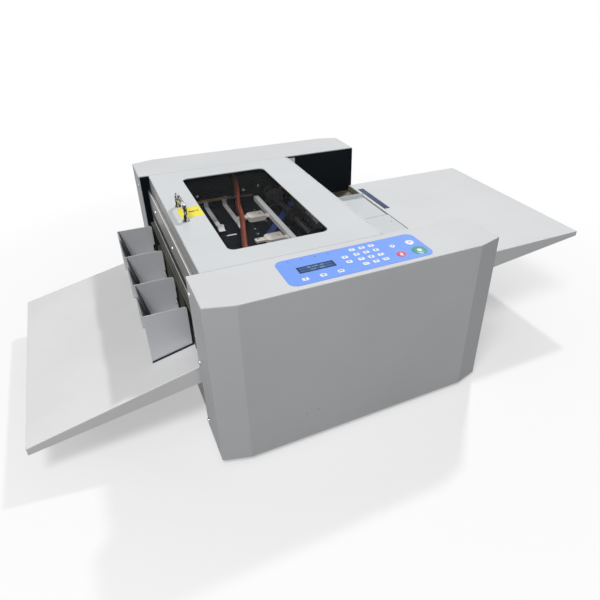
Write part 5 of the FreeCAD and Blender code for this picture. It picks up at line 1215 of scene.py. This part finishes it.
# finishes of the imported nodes
nodeFinish = {
    "coverPaint": ["front_cover", "rear_cover"],
    "lidPaint": ["top_lid", "feeder_bridge", "lid_hinge_leaves", "frame_hinge_leaves"],
    "tablePaint": ["feed_table"],
    "infeedPaint": ["infeed_plate", "side_guide"],
    "exitPaint": ["exit_table"],
    "binPaint": ["waste_tray"],
    "blackPaint": ["front_side_plate", "rear_side_plate", "bed_plate"],
    "wallPaint": ["exit_end_panel", "exit_lip_bar"],
    "hollowBrown": ["feed_end_panel"],
    "zincPlate": ["base_plate", "cross_members", "cutter_guides"],
    "groundSteel": ["upper_blade", "lower_blade", "cam_shaft", "exit_idler", "lane_idlers", "motor_spindle"],
    "oxideSteel": ["lower_slitter", "upper_slitter", "shaft_bearings"],
    "capSteel": ["cover_screws"],
    "darkSteel": ["feed_arm", "cutter_beam"],
    "chrome": ["lid_handle"],
    "blockWhite": ["pressure_blocks"],
    "motorBlack": ["drive_motor", "gear_motors"],
    "rubber": ["rubber_feet", "separation_pad"],
    "feedTyre": ["feed_roller"],
    "pickupTyre": ["pickup_roller"],
    "transportTyre": ["transport_roller"],
    "exitTyre": ["exit_roller"],
    "beltRubber": ["drive_belt"],
    "whitePaint": ["guide_bar"],
    "displayFilm": ["display_window"],
    "boardGreen": ["control_board", "electronics"],
    "blackPlastic": ["power_entry", "power_rocker"],
    "smokedSheet": ["lid_window"],
    "clearPlastic": ["clear_guides"],
}
for finishName, names in nodeFinish.items():
    for nodeName in names:
        for materialSlot in nodes[nodeName].material_slots:
            materialSlot.material = finishes[finishName]
print("nodes painted")

# floor and light
studio = {"floorHalf": 8.0, "floorColor": (0.97, 0.97, 0.97), "floorBounce": (0.31, 0.31, 0.31),
          "floorRoughness": 0.9, "whiteLeast": 0.45, "whiteFrom": 0.4, "whiteTo": 0.9, "skyFill": 0.18}
# the lamps' aim from the middle, distance and size in metres, and power
lamps = {"keyLamp": ((-0.42, -0.51, 1.0), 3.2, 1.0, 59.0), "backLamp": ((0.58, 0.47, 1.0), 4.0, 0.24, 66.0)}
lampsAimAt = (0, 0, 200)


def seenRays(tree):
    # 1 for rays that show the surface itself, in the camera, in gloss or through glass
    path = addNode(tree, "ShaderNodeLightPath").outputs
    shown = addMath(tree, "MAXIMUM", path["Is Camera Ray"], path["Is Glossy Ray"])
    return addMath(tree, "MAXIMUM", shown, path["Is Transmission Ray"])


def addFloor(parts):
    half = parts["floorHalf"]
    low = boxOf("rubber_feet")[0].z * mm + baseZ
    mesh = bpy.data.meshes.new("floor")
    mesh.from_pydata([(-half, -half, low), (half, -half, low), (half, half, low), (-half, half, low)], [],
                     [(0, 1, 2, 3)])
    material, tree, shader = startMaterial("floorPaper", specular=0.0)
    seen = seenRays(tree)
    color = addMix(tree, seen, rgba(parts["floorBounce"]), rgba(parts["floorColor"]))
    setInputs(tree, shader, {"Base Color": color, "Roughness": parts["floorRoughness"]})
    reach = addVector(tree, "LENGTH", {0: objectPlace(tree)}, "Value")
    paper = addRange(tree, reach, parts["whiteFrom"], parts["whiteTo"], parts["whiteLeast"])
    far = addMath(tree, "MULTIPLY", paper, seen)
    white = addSocket(tree, "ShaderNodeEmission", {"Color": (1, 1, 1, 1), "Strength": 1.0})
    blend = addSocket(tree, "ShaderNodeMixShader", {0: far, 1: shader.outputs[0], 2: white})
    setInputs(tree, tree.nodes["Material Output"], {"Surface": blend})
    mesh.materials.append(material)
    linked("floor", mesh)


def addSky(parts):
    world = bpy.data.worlds.new("studioSky")
    bpy.context.scene.world = world
    world.use_nodes = True
    tree = world.node_tree
    strength = addRange(tree, seenRays(tree), 0.0, 1.0, parts["skyFill"], 1.0)
    setInputs(tree, tree.nodes["Background"], {"Color": (1, 1, 1, 1), "Strength": strength})


def addLamp(name, aim, distance, size, power):
    data = bpy.data.lights.new(name, "AREA")
    data.shape, data.size, data.energy = "SQUARE", size, power
    lamp = linked(name, data)
    middle = at(*lampsAimAt)
    lamp.location = middle + Vector(aim).normalized() * distance
    lamp.rotation_euler = (middle - lamp.location).to_track_quat("-Z", "Y").to_euler()


addFloor(studio)
addSky(studio)
for lampName, setup in lamps.items():
    addLamp(lampName, *setup)
bpy.context.scene.view_settings.view_transform = "Standard"
print("floor and light placed")
